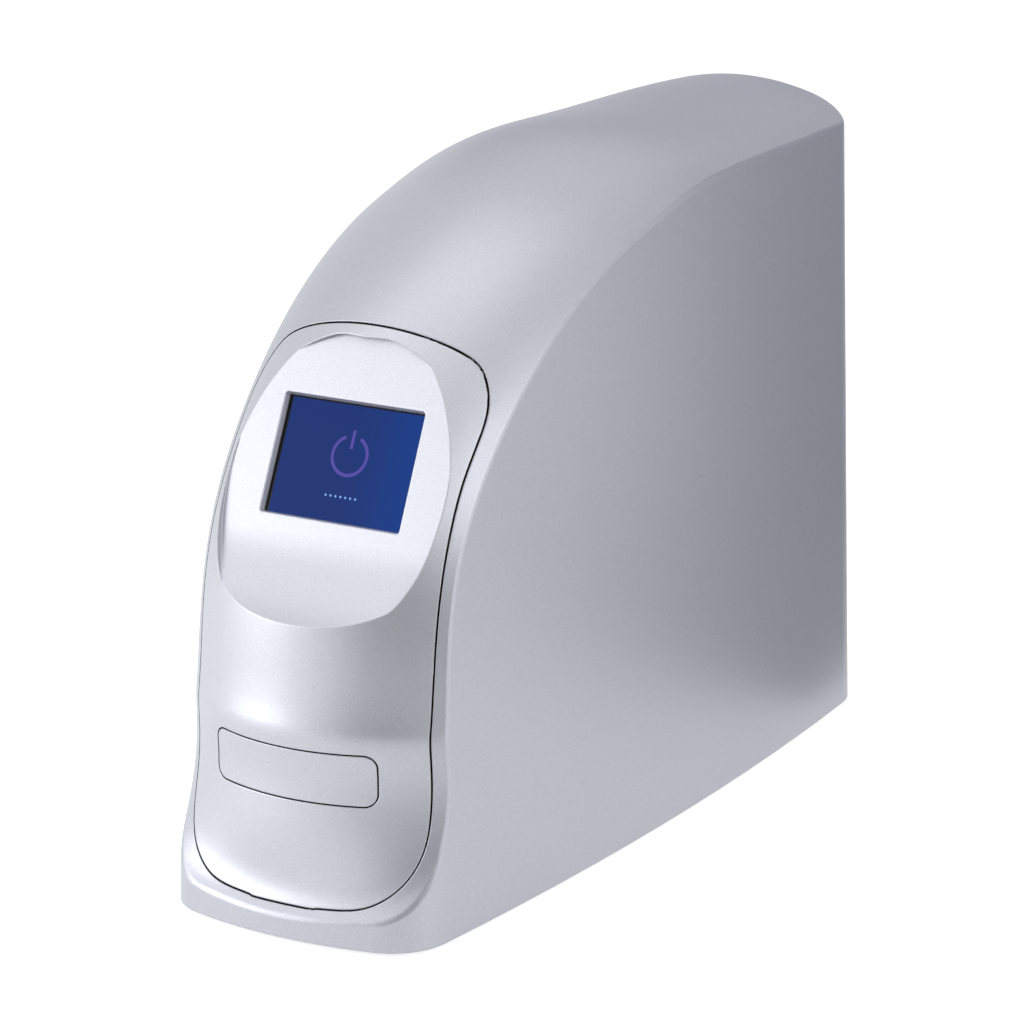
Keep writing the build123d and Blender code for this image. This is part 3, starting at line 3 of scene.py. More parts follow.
import json
import logging
import math
from dataclasses import dataclass, field
from enum import Enum

import bpy
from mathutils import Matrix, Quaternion, Vector
from mathutils.bvhtree import BVHTree


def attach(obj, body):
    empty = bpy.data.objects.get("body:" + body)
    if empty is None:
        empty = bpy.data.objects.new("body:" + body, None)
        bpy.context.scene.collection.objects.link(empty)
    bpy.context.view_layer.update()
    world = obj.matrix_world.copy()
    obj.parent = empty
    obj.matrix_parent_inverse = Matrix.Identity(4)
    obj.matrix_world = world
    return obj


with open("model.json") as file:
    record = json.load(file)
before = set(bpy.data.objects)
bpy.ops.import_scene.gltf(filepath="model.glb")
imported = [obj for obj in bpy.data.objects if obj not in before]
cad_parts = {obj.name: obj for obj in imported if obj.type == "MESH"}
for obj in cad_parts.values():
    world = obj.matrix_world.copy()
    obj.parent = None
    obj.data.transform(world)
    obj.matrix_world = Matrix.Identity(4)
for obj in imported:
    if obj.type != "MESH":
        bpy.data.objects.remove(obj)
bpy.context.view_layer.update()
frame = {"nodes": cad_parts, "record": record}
LOG = logging.getLogger("scanner")

MM = 0.001
HOUSING_LENGTH = 448.0
FOOT_HEIGHT = 2.0

# The sRGB curve: a straight foot below the knee and a power above it
SRGB_KNEE = 0.04045
SRGB_SLOPE = 12.92
SRGB_OFFSET = 0.055
SRGB_POWER = 2.4

# The middle of a noise pattern, where nearly all of its values lie
NOISE_LOW = 0.35
NOISE_HIGH = 0.65

# Sockets of a colour mix node by number, because their names repeat for each data type
MIX_SHARE = 0
MIX_FIRST = 6
MIX_SECOND = 7
MIX_RESULT = 2

QUAD = [(0, 1, 2, 3)]
WHITE = (1.0, 1.0, 1.0, 1.0)


def linear(hex_colour: str) -> tuple[float, float, float, float]:
    """Turns an sRGB hex colour into a linear RGBA value.

    Args:
        hex_colour: Six hex digits, with or without a leading hash.

    Returns:
        Linear red, green and blue, with an alpha of 1.
    """
    digits = hex_colour.lstrip("#")
    channels = []
    for place in (0, 2, 4):
        value = int(digits[place:place + 2], 16) / 255
        if value <= SRGB_KNEE:
            channels.append(value / SRGB_SLOPE)
        else:
            channels.append(((value + SRGB_OFFSET) / (1 + SRGB_OFFSET)) ** SRGB_POWER)
    return (channels[0], channels[1], channels[2], 1.0)


def add_node(
    tree: bpy.types.NodeTree,
    kind: str,
    links: dict[str | int, object] | None = None,
    **settings: object,
) -> bpy.types.Node:
    """Adds one node with its settings, input values and links.

    Args:
        tree: The node tree that gets the node.
        kind: The node's Blender type name.
        links: Input name or number to a constant or to another node's output socket.
        **settings: Properties of the node itself.

    Returns:
        The new node.
    """
    node = tree.nodes.new(kind)
    for name, value in settings.items():
        setattr(node, name, value)
    for name, value in (links or {}).items():
        if isinstance(value, bpy.types.NodeSocket):
            tree.links.new(value, node.inputs[name])
        else:
            node.inputs[name].default_value = value
    return node


def new_material(name: str) -> tuple[bpy.types.Material, bpy.types.NodeTree, bpy.types.Node]:
    """Makes an empty node material with a Principled shader.

    Args:
        name: The material's name.

    Returns:
        The material, its node tree and its shader node.
    """
    material = bpy.data.materials.new(name)
    material.use_nodes = True
    tree = material.node_tree
    tree.nodes.clear()
    shader = add_node(tree, "ShaderNodeBsdfPrincipled")
    add_node(tree, "ShaderNodeOutputMaterial", {"Surface": shader.outputs["BSDF"]})
    return material, tree, shader


def noise(
    tree: bpy.types.NodeTree, size_mm: float, detail: float, stretch: tuple[float, float, float]
) -> bpy.types.NodeSocket:
    """Adds a noise pattern with grains of a real size.

    Args:
        tree: The node tree that gets the pattern.
        size_mm: Size of one grain, in millimetres.
        detail: Number of finer layers on top.
        stretch: Scale along X, Y and Z, below 1 where the grain runs long.

    Returns:
        The pattern's output.
    """
    place = add_node(tree, "ShaderNodeTexCoord")
    scaled = add_node(
        tree, "ShaderNodeMapping", {"Vector": place.outputs["Object"], "Scale": stretch}
    )
    pattern = add_node(
        tree,
        "ShaderNodeTexNoise",
        {"Vector": scaled.outputs["Vector"], "Scale": 1 / (size_mm * MM), "Detail": detail},
    )
    return pattern.outputs["Fac"]


def spread(
    tree: bpy.types.NodeTree, value: bpy.types.NodeSocket, low: float, high: float
) -> bpy.types.NodeSocket:
    """Adds a node that spreads the middle of a noise pattern between two values.

    Args:
        tree: The node tree that gets the node.
        value: The pattern's output.
        low: Value at the pattern's dark end.
        high: Value at its light end.

    Returns:
        The output with the spread values.
    """
    wide = add_node(
        tree,
        "ShaderNodeMapRange",
        {
            "Value": value,
            "From Min": NOISE_LOW,
            "From Max": NOISE_HIGH,
            "To Min": low,
            "To Max": high,
        },
    )
    return wide.outputs["Result"]


def colour_mix(
    tree: bpy.types.NodeTree,
    share: bpy.types.NodeSocket,
    first: tuple[float, ...],
    second: tuple[float, ...],
) -> bpy.types.NodeSocket:
    """Adds a mix of two colours.

    Args:
        tree: The node tree that gets the node.
        share: How much of the second colour shows, from 0 to 1.
        first: The linear RGBA colour at a share of 0.
        second: The linear RGBA colour at a share of 1.

    Returns:
        The mixed colour's output.
    """
    mix = add_node(
        tree,
        "ShaderNodeMix",
        {MIX_SHARE: share, MIX_FIRST: first, MIX_SECOND: second},
        data_type="RGBA",
    )
    return mix.outputs[MIX_RESULT]


@dataclass(frozen=True)
class SilverPaint:
    """Two-coat silver paint sprayed on moulded ABS.

    Fine aluminium flakes under a satin lacquer give a soft broad highlight and a faint grain.
    """

    name: str
    colour: str = "#bcbec6"
    dark_flake: str = "#adafb8"
    metallic: float = 0.58
    roughness: float = 0.43
    grain_mm: float = 0.45
    grain_depth_mm: float = 0.012
    grain_detail: float = 2.0
    edge_mm: float = 0.8
    edge_samples: int = 8

    def build(self) -> bpy.types.Material:
        """Builds the paint.

        Returns:
            The material.
        """
        material, tree, shader = new_material(self.name)
        # Real flakes are finer than a pixel, so these are drawn coarser to show at all.
        flakes = noise(tree, self.grain_mm, self.grain_detail, (1.0, 1.0, 1.0))
        share = spread(tree, flakes, 0.0, 1.0)
        colour = colour_mix(tree, share, linear(self.dark_flake), linear(self.colour))
        # Every edge of the mouldings has a small radius, which catches a thin line of light.
        edge = add_node(
            tree, "ShaderNodeBevel", {"Radius": self.edge_mm * MM}, samples=self.edge_samples
        )
        bump = add_node(
            tree,
            "ShaderNodeBump",
            {
                "Height": flakes,
                "Distance": self.grain_depth_mm * MM,
                "Normal": edge.outputs["Normal"],
            },
        )
        tree.links.new(colour, shader.inputs["Base Color"])
        tree.links.new(bump.outputs["Normal"], shader.inputs["Normal"])
        shader.inputs["Metallic"].default_value = self.metallic
        shader.inputs["Roughness"].default_value = self.roughness
        return material


@dataclass(frozen=True)
class Plain:
    """A moulded, milled, rolled or masked finish with its grain and a slight change of tone."""

    name: str
    colour: str
    metallic: float = 0.0
    roughness: float = 0.5
    coat: float = 0.0
    specular: float = 0.5
    grain_mm: float = 0.6
    grain_depth_mm: float = 0.01
    grain_detail: float = 3.0
    tone: float = 0.88
    rough_spread: float = 0.06
    stretch: tuple[float, float, float] = (1.0, 1.0, 1.0)

    def build(self) -> bpy.types.Material:
        """Builds the finish.

        Returns:
            The material.
        """
        material, tree, shader = new_material(self.name)
        grain = noise(tree, self.grain_mm, self.grain_detail, self.stretch)
        light = linear(self.colour)
        dark = (light[0] * self.tone, light[1] * self.tone, light[2] * self.tone, 1.0)
        colour = colour_mix(tree, spread(tree, grain, 0.0, 1.0), dark, light)
        rough = spread(
            tree, grain, self.roughness + self.rough_spread, self.roughness - self.rough_spread
        )
        bump = add_node(
            tree, "ShaderNodeBump", {"Height": grain, "Distance": self.grain_depth_mm * MM}
        )
        tree.links.new(colour, shader.inputs["Base Color"])
        tree.links.new(rough, shader.inputs["Roughness"])
        tree.links.new(bump.outputs["Normal"], shader.inputs["Normal"])
        shader.inputs["Metallic"].default_value = self.metallic
        shader.inputs["Coat Weight"].default_value = self.coat
        shader.inputs["Specular IOR Level"].default_value = self.specular
        return material


@dataclass(frozen=True)
class Clear:
    """Polished glass or clear acrylic, tinted right through."""

    name: str
    colour: str
    roughness: float = 0.02
    ior: float = 1.5

    def build(self) -> bpy.types.Material:
        """Builds the finish.

        Returns:
            The material.
        """
        material, _tree, shader = new_material(self.name)
        shader.inputs["Base Color"].default_value = linear(self.colour)
        shader.inputs["Roughness"].default_value = self.roughness
        shader.inputs["IOR"].default_value = self.ior
        shader.inputs["Transmission Weight"].default_value = 1.0
        return material


@dataclass(frozen=True)
class Lit:
    """The lit face of a display behind coated glass.

    The picture glows by itself, a little more towards its right edge, and the anti-glare
    coating keeps nearly all reflections off it.
    """

    name: str
    colour: str
    edge_colour: str
    unlit: str = "#05070c"
    reach_mm: float = 36.0
    glow: float = 1.0
    roughness: float = 0.25
    specular: float = 0.03

    def build(self) -> bpy.types.Material:
        """Builds the finish.

        Returns:
            The material.
        """
        material, tree, shader = new_material(self.name)
        place = add_node(tree, "ShaderNodeTexCoord")
        parts = add_node(tree, "ShaderNodeSeparateXYZ", {0: place.outputs["Object"]})
        across = add_node(
            tree,
            "ShaderNodeMapRange",
            {"Value": parts.outputs["X"], "From Min": 0.0, "From Max": self.reach_mm * MM},
            interpolation_type="SMOOTHSTEP",
        )
        glow = colour_mix(
            tree, across.outputs["Result"], linear(self.colour), linear(self.edge_colour)
        )
        tree.links.new(glow, shader.inputs["Emission Color"])
        shader.inputs["Base Color"].default_value = linear(self.unlit)
        shader.inputs["Roughness"].default_value = self.roughness
        shader.inputs["Specular IOR Level"].default_value = self.specular
        shader.inputs["Emission Strength"].default_value = self.glow
        return material


class Screen(Enum):
    """The lit tones of the display picture."""

    BLUE = Lit("lcd_backlit_blue", "#1d3474", "#183c86")
    VIOLET = Lit("lcd_backlit_violet", "#584ea6", "#584ea6")
    PALE = Lit("lcd_backlit_pale_blue", "#7fb0ee", "#7fb0ee")


# Each CAD slot with the finish of the real thing
FINISHES: dict[str, SilverPaint | Plain | Clear] = {
    # Sprayed silver: cool grey with a broad soft sheen
    "shell_paint": SilverPaint("abs_sprayed_silver_shell"),
    # The same paint, a touch lighter as painted light on the front, and softer along its edges
    "cover_paint": SilverPaint(
        "abs_sprayed_silver_cover_painted_lighter", colour="#c2c4cb", dark_flake="#b3b5bd", edge_mm=1.0
    ),
    # Moulded rubber: dull black that swallows light in the gaps
    "seal_rubber": Plain("rubber_moulded_black", "#141518", roughness=0.85),
    # Float glass printed black behind its rim: deep black with a faint soft reflection
    "glass_face": Plain(
        "glass_float_printed_black", "#04050a", roughness=0.14, specular=0.12,
        grain_depth_mm=0.0, rough_spread=0.02,
    ),
    # The panel round its lit picture: a dark blue sheen under glass
    "lit_panel": Plain("glass_lcd_stack", "#101a3c", roughness=0.2, grain_depth_mm=0.0),
    # Moulded ABS with a fine spark-eroded grain: matt, with no sharp highlight
    "dark_plastic": Plain("abs_moulded_dark", "#2a2c30"),
    "grey_plastic": Plain("abs_moulded_grey", "#8b8f94", roughness=0.48),
    # Solder-masked fibreglass: green with a soft shine and the weave just showing
    "board_green": Plain(
        "fibreglass_masked_green", "#1f5a3c", roughness=0.35, coat=0.3, grain_mm=1.2
    ),
    # Rolled zinc-plated sheet, with a long faint grain
    "sheet_steel": Plain(
        "steel_zinc_plated", "#a9adb0", metallic=1.0, roughness=0.36, stretch=(1.0, 1.0, 0.06)
    ),
    # Milled blocks, with cutter marks along X
    "bare_aluminium": Plain(
        "aluminium_milled", "#c2c5c8", metallic=1.0, roughness=0.32, stretch=(0.08, 1.0, 1.0)
    ),
    # Ground shafts, with hair-fine rings round them
    "polished_steel": Plain(
        "steel_ground_hardened", "#c8ccd0", metallic=1.0, roughness=0.14, grain_mm=0.3,
        grain_depth_mm=0.002, rough_spread=0.03, stretch=(0.1, 1.0, 0.1),
    ),
    # Moulded acetal gears: waxy off-white
    "gear_plastic": Plain("acetal_moulded_white", "#e4e2d8", roughness=0.38, tone=0.95),
    # Turned bushes and nuts: warm, with the lathe's rings
    "nut_bronze": Plain(
        "bronze_turned", "#b08a4a", metallic=1.0, roughness=0.28, stretch=(0.1, 1.0, 0.1)
    ),
    # Front-silvered glass: a clear reflection
    "mirror_face": Plain(
        "glass_silvered", "#e8ecee", metallic=1.0, roughness=0.04, grain_depth_mm=0.0,
        rough_spread=0.01, tone=0.99,
    ),
    "lens_glass": Clear("glass_optical", "#f2f8fb"),
    # Passes the plates' blue light and holds back the laser's red
    "filter_glass": Clear("glass_blue_dyed", "#2c4fb0"),
    "light_guide": Clear("acrylic_polished", "#eef4f8", ior=1.49),
    "screw_steel": Plain("steel_screw_plated", "#8f9397", metallic=1.0, roughness=0.3),
}


def mesh_piece(
    name: str, points: list[Vector], faces: list[tuple[int, ...]], material: bpy.types.Material
) -> bpy.types.Object:
    """Makes one mesh object in the row frame.

    Args:
        name: The piece's name.
        points: Corners in metres.
        faces: Corner numbers of each face.
        material: The piece's finish.

    Returns:
        The new object.
    """
    mesh = bpy.data.meshes.new(name)
    mesh.from_pydata([tuple(point) for point in points], [], faces)
    mesh.materials.append(material)
    mesh.update()
    piece = bpy.data.objects.new(name, mesh)
    bpy.context.scene.collection.objects.link(piece)
    return piece


@dataclass
class CadFinish:
    """Gives every CAD node the finish of its material slot.

    Only the outsides of the silver mouldings are sprayed; their insides are bare black ABS. The
    walls of their seams get the same near-black as painted shade, which makes each seam a dark
    line.
    """

    # Near-black for the bare insides, also put on the seam walls as painted shade
    bare_and_seam_shade: Plain = Plain("abs_bare_black_and_painted_seam_shade", "#0b0c0f", roughness=0.6, specular=0.2)
    seam_reach_mm: float = 3.0
    hollow_reach_mm: float = 400.0
    hollow_node: str = "housing_shell"
    start_mm: float = 0.02
    seam_wall_limit: float = 0.02
    seam_lean: float = 0.6
    slot_rise_mm: float = 0.4
    slot_reach_mm: float = 1.2
    slot_steps: int = 6
    made: dict[str, bpy.types.Material] = field(default_factory=dict)

    def material(self, slot: str) -> bpy.types.Material:
        """Returns the finish of a slot, built once."""
        if slot not in self.made:
            self.made[slot] = FINISHES[slot].build()
        return self.made[slot]

    def dress(self) -> None:
        """Puts each slot's finish on its nodes, and paints shade in the seams with bare black."""
        slots = {part["node"]: part["material_slot"] for part in frame["record"]["subparts"]}
        for node, piece in frame["nodes"].items():
            material = self.material(slots[node])
            if not piece.material_slots:
                piece.data.materials.append(material)
            for slot in piece.material_slots:
                slot.material = material
            LOG.info("dressed %s in %s", node, material.name)
        sprayed = [node for node, slot in slots.items() if isinstance(FINISHES[slot], SilverPaint)]
        self.paint_seam_shade_and_bare_insides(sprayed)

    def paint_seam_shade_and_bare_insides(self, sprayed: list[str]) -> None:
        """Gives near-black to faces inside the mouldings, as bare plastic, and in their seams, as
        painted shade.

        Args:
            sprayed: The CAD nodes that are sprayed outside.
        """
        walls = self.search_tree(list(frame["nodes"]))
        bare_and_seam_shade = self.bare_and_seam_shade.build()
        for node in sprayed:
            piece = frame["nodes"][node]
            others = self.search_tree([name for name in frame["nodes"] if name != node])
            place = piece.matrix_world
            piece.data.materials.append(bare_and_seam_shade)
            number = len(piece.data.materials) - 1
            for face in piece.data.polygons:
                normal = (place.to_3x3() @ face.normal).normalized()
                start = place @ face.center + normal * self.start_mm * MM
                # Faces with a wall close opposite turn near-black: painted shade in seams, bare
                # plastic inside
                if self.is_hidden(walls, others, start, normal, node == self.hollow_node):
                    face.material_index = number

    def is_hidden(
        self, walls: BVHTree, others: BVHTree, start: Vector, normal: Vector, hollow: bool
    ) -> bool:
        """Tells whether a face lies inside a moulding or down in a seam.

        Args:
            walls: The search tree over all pieces.
            others: The search tree over all pieces but the face's own.
            start: A point just in front of the face.
            normal: The face's direction.
            hollow: Whether the face is one of the hollow shell's.

        Returns:
            True for faces inside a moulding, and for seam walls, which get painted shade.
        """
        # A wall stands opposite, across the hollow or across the seam.
        reach = (self.hollow_reach_mm if hollow else self.seam_reach_mm) * MM
        if walls.ray_cast(start, normal, reach)[0] is not None:
            return True
        # Near the mouth of a seam the opposite wall may start a little further in.
        if abs(normal.y) < self.seam_wall_limit:
            inward = (normal + Vector((0.0, self.seam_lean, 0.0))).normalized()
            if others.ray_cast(start, inward, self.seam_reach_mm * MM)[0] is not None:
                return True
        # The bottom of a seam faces straight out, but has walls close by on both sides.
        return hollow and self.in_slot(walls, start + normal * self.slot_rise_mm * MM, normal)

    def in_slot(self, walls: BVHTree, start: Vector, normal: Vector) -> bool:
        """Tells whether a point lies between two close walls, as at the bottom of a seam.

        Args:
            walls: The search tree over all pieces.
            start: A point a little above a face.
            normal: The face's direction.

        Returns:
            True where a wall is close by on both sides.
        """
        across = normal.orthogonal().normalized()
        for step in range(self.slot_steps):
            side = Quaternion(normal, math.pi * step / self.slot_steps) @ across
            hits = [walls.ray_cast(start, way, self.slot_reach_mm * MM)[0] for way in (side, -side)]
            if all(hit is not None for hit in hits):
                return True
        return False

    @staticmethod
    def search_tree(names: list[str]) -> BVHTree:
        """Makes one search tree over several CAD pieces in the row frame.

        Args:
            names: The pieces' nodes.

        Returns:
            The search tree.
        """
        points: list[Vector] = []
        faces: list[tuple[int, ...]] = []
        for name in names:
            piece = frame["nodes"][name]
            first = len(points)
            points.extend(piece.matrix_world @ corner.co for corner in piece.data.vertices)
            faces.extend(
                tuple(first + corner for corner in face.vertices) for face in piece.data.polygons
            )
        return BVHTree.FromPolygons(points, faces)


@dataclass
class DisplayPicture:
    """The lit picture on the display, with a generic standby sign and a row of dots.

    Lengths are in millimetres, and places on the glass count from the display's middle.
    """

    facet_height: float = 207.2
    facet_depth: float = 389.4
    facet_tilt_deg: float = 25.2
    glass_behind: float = 3.0
    picture_width: float = 70.1
    picture_height: float = 53.4
    picture_shift: tuple[float, float] = (0.9, -0.4)
    picture_lift: float = 0.06
    sign_lift: float = 0.12
    ring_radius: float = 9.0
    ring_width: float = 1.5
    ring_place: tuple[float, float] = (1.5, 3.5)
    ring_gap_deg: float = 26.0
    ring_steps: int = 64
    bar_start_share: float = 0.35
    bar_end_share: float = 1.3
    dot_radius: float = 0.55
    dot_pitch: float = 2.6
    dot_count: int = 7
    dot_height: float = -15.5
    dot_steps: int = 24

    def place(self, right: float, up: float, lift: float) -> Vector:
        """Finds a point on or in front of the display's glass, from its middle.

        Args:
            right: Distance to the right, in millimetres.
            up: Distance up along the glass, in millimetres.
            lift: Distance in front of the glass, in millimetres.

        Returns:
            The point in the row frame, in metres.
        """
        lean = math.radians(self.facet_tilt_deg)
        out = Vector((0.0, -math.cos(lean), math.sin(lean)))
        rise = Vector((0.0, math.sin(lean), math.cos(lean)))
        middle = Vector((
            0.0, HOUSING_LENGTH / 2 - self.facet_depth, self.facet_height + FOOT_HEIGHT
        ))
        point = middle + out * (lift - self.glass_behind) + rise * up
        point.x += right
        return point * MM

    def disc(
        self, name: str, at: tuple[float, float], radius: float, material: bpy.types.Material
    ) -> bpy.types.Object:
        """Makes one flat dot on the picture.

        Args:
            name: The dot's name.
            at: Its middle, right and up of the display's middle, in millimetres.
            radius: Its radius, in millimetres.
            material: Its lit tone.

        Returns:
            The new object.
        """
        turns = [2 * math.pi * step / self.dot_steps for step in range(self.dot_steps)]
        points = [
            self.place(
                at[0] + radius * math.cos(turn), at[1] + radius * math.sin(turn), self.sign_lift
            )
            for turn in turns
        ]
        return mesh_piece(name, points, [tuple(range(self.dot_steps))], material)

    def ring(self, name: str, material: bpy.types.Material) -> bpy.types.Object:
        """Makes the open ring of the standby sign.

        Args:
            name: The ring's name.
            material: Its lit tone.

        Returns:
            The new object.
        """
        half_width = self.ring_width / 2
        points: list[Vector] = []
        start = math.radians(90 + self.ring_gap_deg)
        sweep = math.radians(360 - 2 * self.ring_gap_deg)
        for step in range(self.ring_steps + 1):
            turn = start + sweep * step / self.ring_steps
            for radius in (self.ring_radius - half_width, self.ring_radius + half_width):
                points.append(self.place(
                    self.ring_place[0] + radius * math.cos(turn),
                    self.ring_place[1] + radius * math.sin(turn),
                    self.sign_lift,
                ))
        faces = [
            (2 * step, 2 * step + 1, 2 * step + 3, 2 * step + 2) for step in range(self.ring_steps)
        ]
        return mesh_piece(name, points, faces, material)

    def bar(
        self,
        name: str,
        low: tuple[float, float],
        high: tuple[float, float],
        lift: float,
        material: bpy.types.Material,
    ) -> bpy.types.Object:
        """Makes one flat rectangle on the picture.

        Args:
            name: The piece's name.
            low: Its lower left corner from the display's middle, in millimetres.
            high: Its upper right corner.
            lift: Its distance in front of the glass, in millimetres.
            material: Its lit tone.

        Returns:
            The new object.
        """
        points = [
            self.place(low[0], low[1], lift), self.place(high[0], low[1], lift),
            self.place(high[0], high[1], lift), self.place(low[0], high[1], lift),
        ]
        return mesh_piece(name, points, QUAD, material)

    def build(self) -> list[bpy.types.Object]:
        """Builds the picture and its signs.

        Returns:
            The pieces, riding on the housing.
        """
        blue = Screen.BLUE.value.build()
        violet = Screen.VIOLET.value.build()
        pale = Screen.PALE.value.build()
        half_width, half_height = self.picture_width / 2, self.picture_height / 2
        shift_x, shift_y = self.picture_shift
        sign_x, sign_y = self.ring_place
        pieces = [
            self.bar(
                "display_picture",
                (shift_x - half_width, shift_y - half_height),
                (shift_x + half_width, shift_y + half_height),
                self.picture_lift,
                blue,
            ),
            self.ring("display_sign_ring", violet),
            self.bar(
                "display_sign_bar",
                (sign_x - self.ring_width / 2, sign_y + self.ring_radius * self.bar_start_share),
                (sign_x + self.ring_width / 2, sign_y + self.ring_radius * self.bar_end_share),
                self.sign_lift,
                violet,
            ),
        ]
        for dot in range(self.dot_count):
            place = (sign_x + (dot - (self.dot_count - 1) / 2) * self.dot_pitch, self.dot_height)
            pieces.append(self.disc(f"display_dot_{dot}", place, self.dot_radius, pale))
        for piece in pieces:
            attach(piece, "housing")
            LOG.info("built %s", piece.name)
        return pieces


def background_rays(tree: bpy.types.NodeTree) -> bpy.types.NodeSocket:
    """Adds the test for rays that show the background, straight, mirrored or through glass.

    Args:
        tree: The node tree that gets the nodes.

    Returns:
        An output that is 1 for these rays and 0 for light on the object.
    """
    ray = add_node(tree, "ShaderNodeLightPath")
    mirrored = add_node(
        tree, "ShaderNodeMath",
        {0: ray.outputs["Is Camera Ray"], 1: ray.outputs["Is Glossy Ray"]}, operation="MAXIMUM",
    )
    seen = add_node(
        tree, "ShaderNodeMath",
        {0: mirrored.outputs[0], 1: ray.outputs["Is Transmission Ray"]}, operation="MAXIMUM",
    )
    return seen.outputs[0]


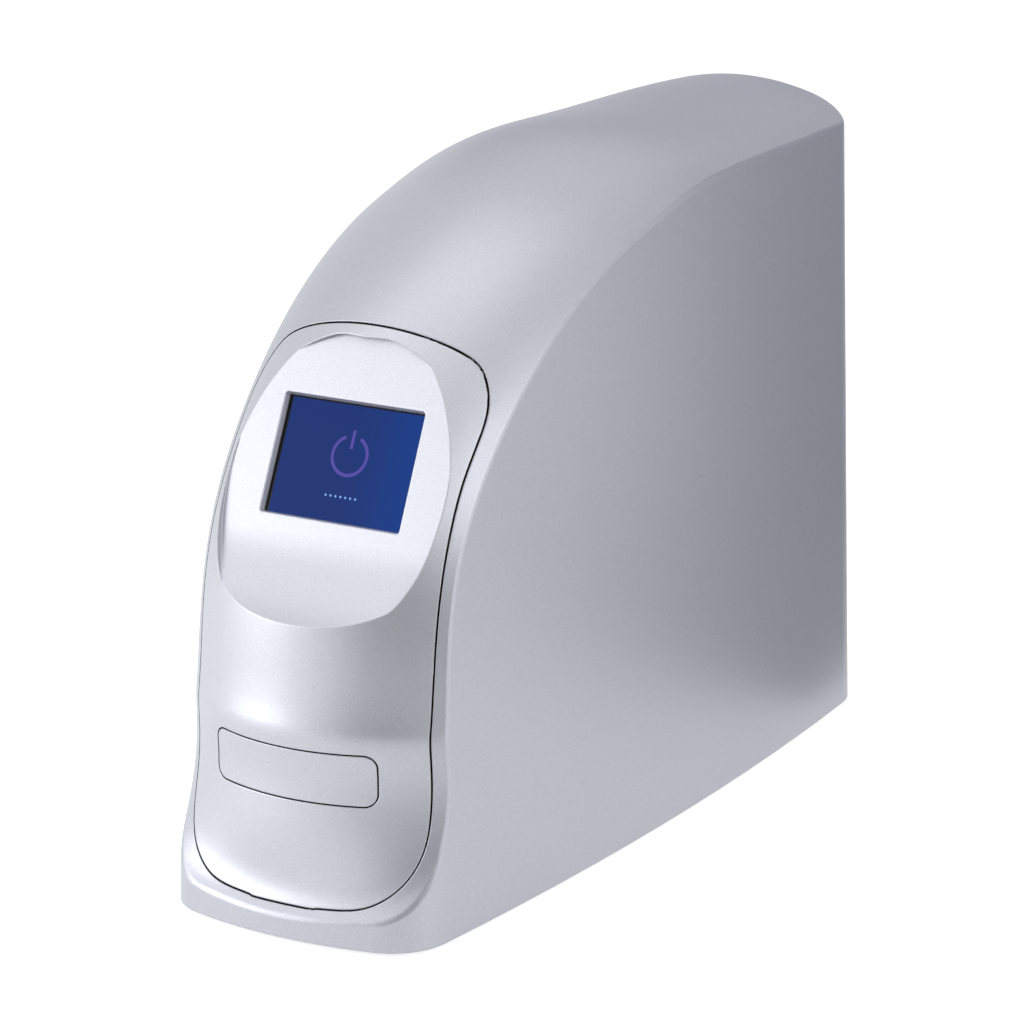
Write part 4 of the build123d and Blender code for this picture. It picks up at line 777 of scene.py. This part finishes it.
@dataclass
class Studio:
    """Pale floor, soft lamps, dark cards, white surroundings and the camera.

    Places and sizes are in metres.
    """

    target: tuple[float, float, float] = (-0.01003, 0.002, 0.14185)
    distance: float = 2.00194
    azimuth_deg: float = 30.37
    elevation_deg: float = 16.37
    # Focal length as a share of the picture's width
    focal_share: float = 4118.61 / 1024
    sensor_mm: float = 36.0
    clip: tuple[float, float] = (0.05, 50.0)
    # Strength of the white surroundings as light; in view they are full white
    surround: float = 0.43
    floor_colour: str = "#f4f4f4"
    floor_roughness: float = 0.9
    # What the floor adds in view, so that it comes up to white around the soft shadow
    floor_glow: float = 0.63
    floor_reach: float = 12.0
    floor_drop_mm: float = 0.3

    def camera(self) -> None:
        """Places the camera at the photograph's viewpoint."""
        turn, rise = math.radians(self.azimuth_deg), math.radians(self.elevation_deg)
        back = Vector((
            math.sin(turn) * math.cos(rise), -math.cos(turn) * math.cos(rise), math.sin(rise)
        ))
        data = bpy.data.cameras.new("camera")
        data.lens = self.focal_share * self.sensor_mm
        data.sensor_width = self.sensor_mm
        data.clip_start, data.clip_end = self.clip
        camera = bpy.data.objects.new("camera", data)
        camera.location = Vector(self.target) + back * self.distance
        camera.rotation_euler = (math.pi / 2 - rise, 0.0, turn)
        bpy.context.scene.collection.objects.link(camera)
        bpy.context.scene.camera = camera

    def lamp(
        self,
        name: str,
        place: tuple[float, float, float],
        aim: tuple[float, float, float],
        size: tuple[float, float],
        power: float,
    ) -> None:
        """Adds one soft rectangular lamp.

        Args:
            name: The lamp's name.
            place: Where it stands, in metres.
            aim: The point it faces.
            size: Width and height, in metres.
            power: Watts.
        """
        data = bpy.data.lights.new(name, "AREA")
        data.shape = "RECTANGLE"
        data.size, data.size_y = size
        data.energy = power
        lamp = bpy.data.objects.new(name, data)
        lamp.location = place
        lamp.rotation_euler = (Vector(aim) - Vector(place)).to_track_quat("-Z", "Y").to_euler()
        bpy.context.scene.collection.objects.link(lamp)

    def dark_card(
        self,
        name: str,
        place: tuple[float, float, float],
        aim: tuple[float, float, float],
        size: tuple[float, float],
        colour: str,
    ) -> None:
        """Stands a dark card out of view, which only shows as a soft band in shiny surfaces.

        Args:
            name: The card's name.
            place: The card's middle, in metres.
            aim: The point it faces.
            size: Width and height, in metres.
            colour: The card's sRGB hex colour.
        """
        facing = (Vector(aim) - Vector(place)).normalized()
        across = facing.cross(Vector((0.0, 0.0, 1.0))).normalized() * size[0] / 2
        upward = across.cross(facing).normalized() * size[1] / 2
        middle = Vector(place)
        points = [
            middle - across - upward, middle + across - upward,
            middle + across + upward, middle - across + upward,
        ]
        material, _tree, shader = new_material(f"{name}_felt")
        shader.inputs["Base Color"].default_value = linear(colour)
        shader.inputs["Roughness"].default_value = 1.0
        card = mesh_piece(name, points, QUAD, material)
        card.visible_camera = False
        card.visible_diffuse = False
        card.visible_shadow = False
        card.visible_transmission = False

    def world(self) -> None:
        """Makes surroundings that are white in view and softer as light."""
        world = bpy.data.worlds.new("white_surroundings")
        world.use_nodes = True
        tree = world.node_tree
        tree.nodes.clear()
        soft, white = (
            add_node(tree, "ShaderNodeBackground", {"Color": WHITE, "Strength": strength})
            for strength in (self.surround, 1.0)
        )
        mix = add_node(
            tree, "ShaderNodeMixShader",
            {0: background_rays(tree), 1: soft.outputs[0], 2: white.outputs[0]},
        )
        add_node(tree, "ShaderNodeOutputWorld", {"Surface": mix.outputs[0]})
        bpy.context.scene.world = world

    def floor(self) -> None:
        """Lays the pale floor, which shows white and keeps the object's soft shadow."""
        reach, level = self.floor_reach, -self.floor_drop_mm * MM
        material, tree, shader = new_material("floor_painted_white")
        shader.inputs["Base Color"].default_value = linear(self.floor_colour)
        shader.inputs["Roughness"].default_value = self.floor_roughness
        shader.inputs["Specular IOR Level"].default_value = 0.0
        glow = add_node(
            tree, "ShaderNodeMath", {0: background_rays(tree), 1: self.floor_glow},
            operation="MULTIPLY",
        )
        shader.inputs["Emission Color"].default_value = WHITE
        tree.links.new(glow.outputs[0], shader.inputs["Emission Strength"])
        points = [
            Vector((-reach, -reach, level)), Vector((reach, -reach, level)),
            Vector((reach, reach, level)), Vector((-reach, reach, level)),
        ]
        floor = mesh_piece("floor", points, QUAD, material)

    def build(self) -> None:
        """Sets up the camera, lamps, surroundings and floor."""
        self.camera()
        self.world()
        self.floor()
        # The front is lit from the left, the swept top from above and the side from the right
        self.lamp(
            "left_softbox", place=(-1.25, -1.25, 0.5), aim=(0.0, -0.1, 0.1), size=(1.0, 0.9),
            power=13.5,
        )
        self.lamp(
            "front_softbox", place=(-1.0, -1.4, 1.4), aim=(0.0, -0.1, 0.15), size=(1.2, 1.4),
            power=2.0,
        )
        self.lamp(
            "high_softbox", place=(-0.9, -0.7, 1.9), aim=(0.0, -0.1, 0.2), size=(1.0, 1.0),
            power=3.2,
        )
        self.lamp(
            "top_softbox", place=(0.0, 0.0, 2.1), aim=(0.0, 0.0, 0.2), size=(1.4, 1.4),
            power=6.5,
        )
        self.lamp(
            "side_softbox", place=(1.9, -0.4, 0.9), aim=(0.0, 0.0, 0.15), size=(1.2, 1.2),
            power=12.5,
        )
        # One card stands before the front and three round the rear end, each shading a part
        # of what the paint mirrors
        self.dark_card(
            "front_card", place=(0.3, -0.52, 0.1), aim=(0.0, -0.2, 0.1), size=(0.7, 0.4),
            colour="#0c1024",
        )
        self.dark_card(
            "rear_card", place=(0.2, 0.42, 0.3), aim=(0.08, 0.15, 0.25), size=(0.3, 0.7),
            colour="#8a8e9e",
        )
        self.dark_card(
            "floor_card", place=(0.27, 0.37, 0.006), aim=(0.27, 0.35, 1.0), size=(0.34, 0.36),
            colour="#9498a6",
        )
        self.dark_card(
            "back_card", place=(-0.6, 1.3, 0.75), aim=(0.0, 0.1, 0.3), size=(0.9, 0.6),
            colour="#b4b7c8",
        )
        bpy.context.scene.view_settings.view_transform = "Standard"


def main() -> None:
    """Builds the studio, dresses the frame and adds the display's picture."""
    logging.basicConfig(level=logging.INFO, format="%(message)s")
    Studio().build()
    CadFinish().dress()
    DisplayPicture().build()


if __name__ == "__main__":
    main()
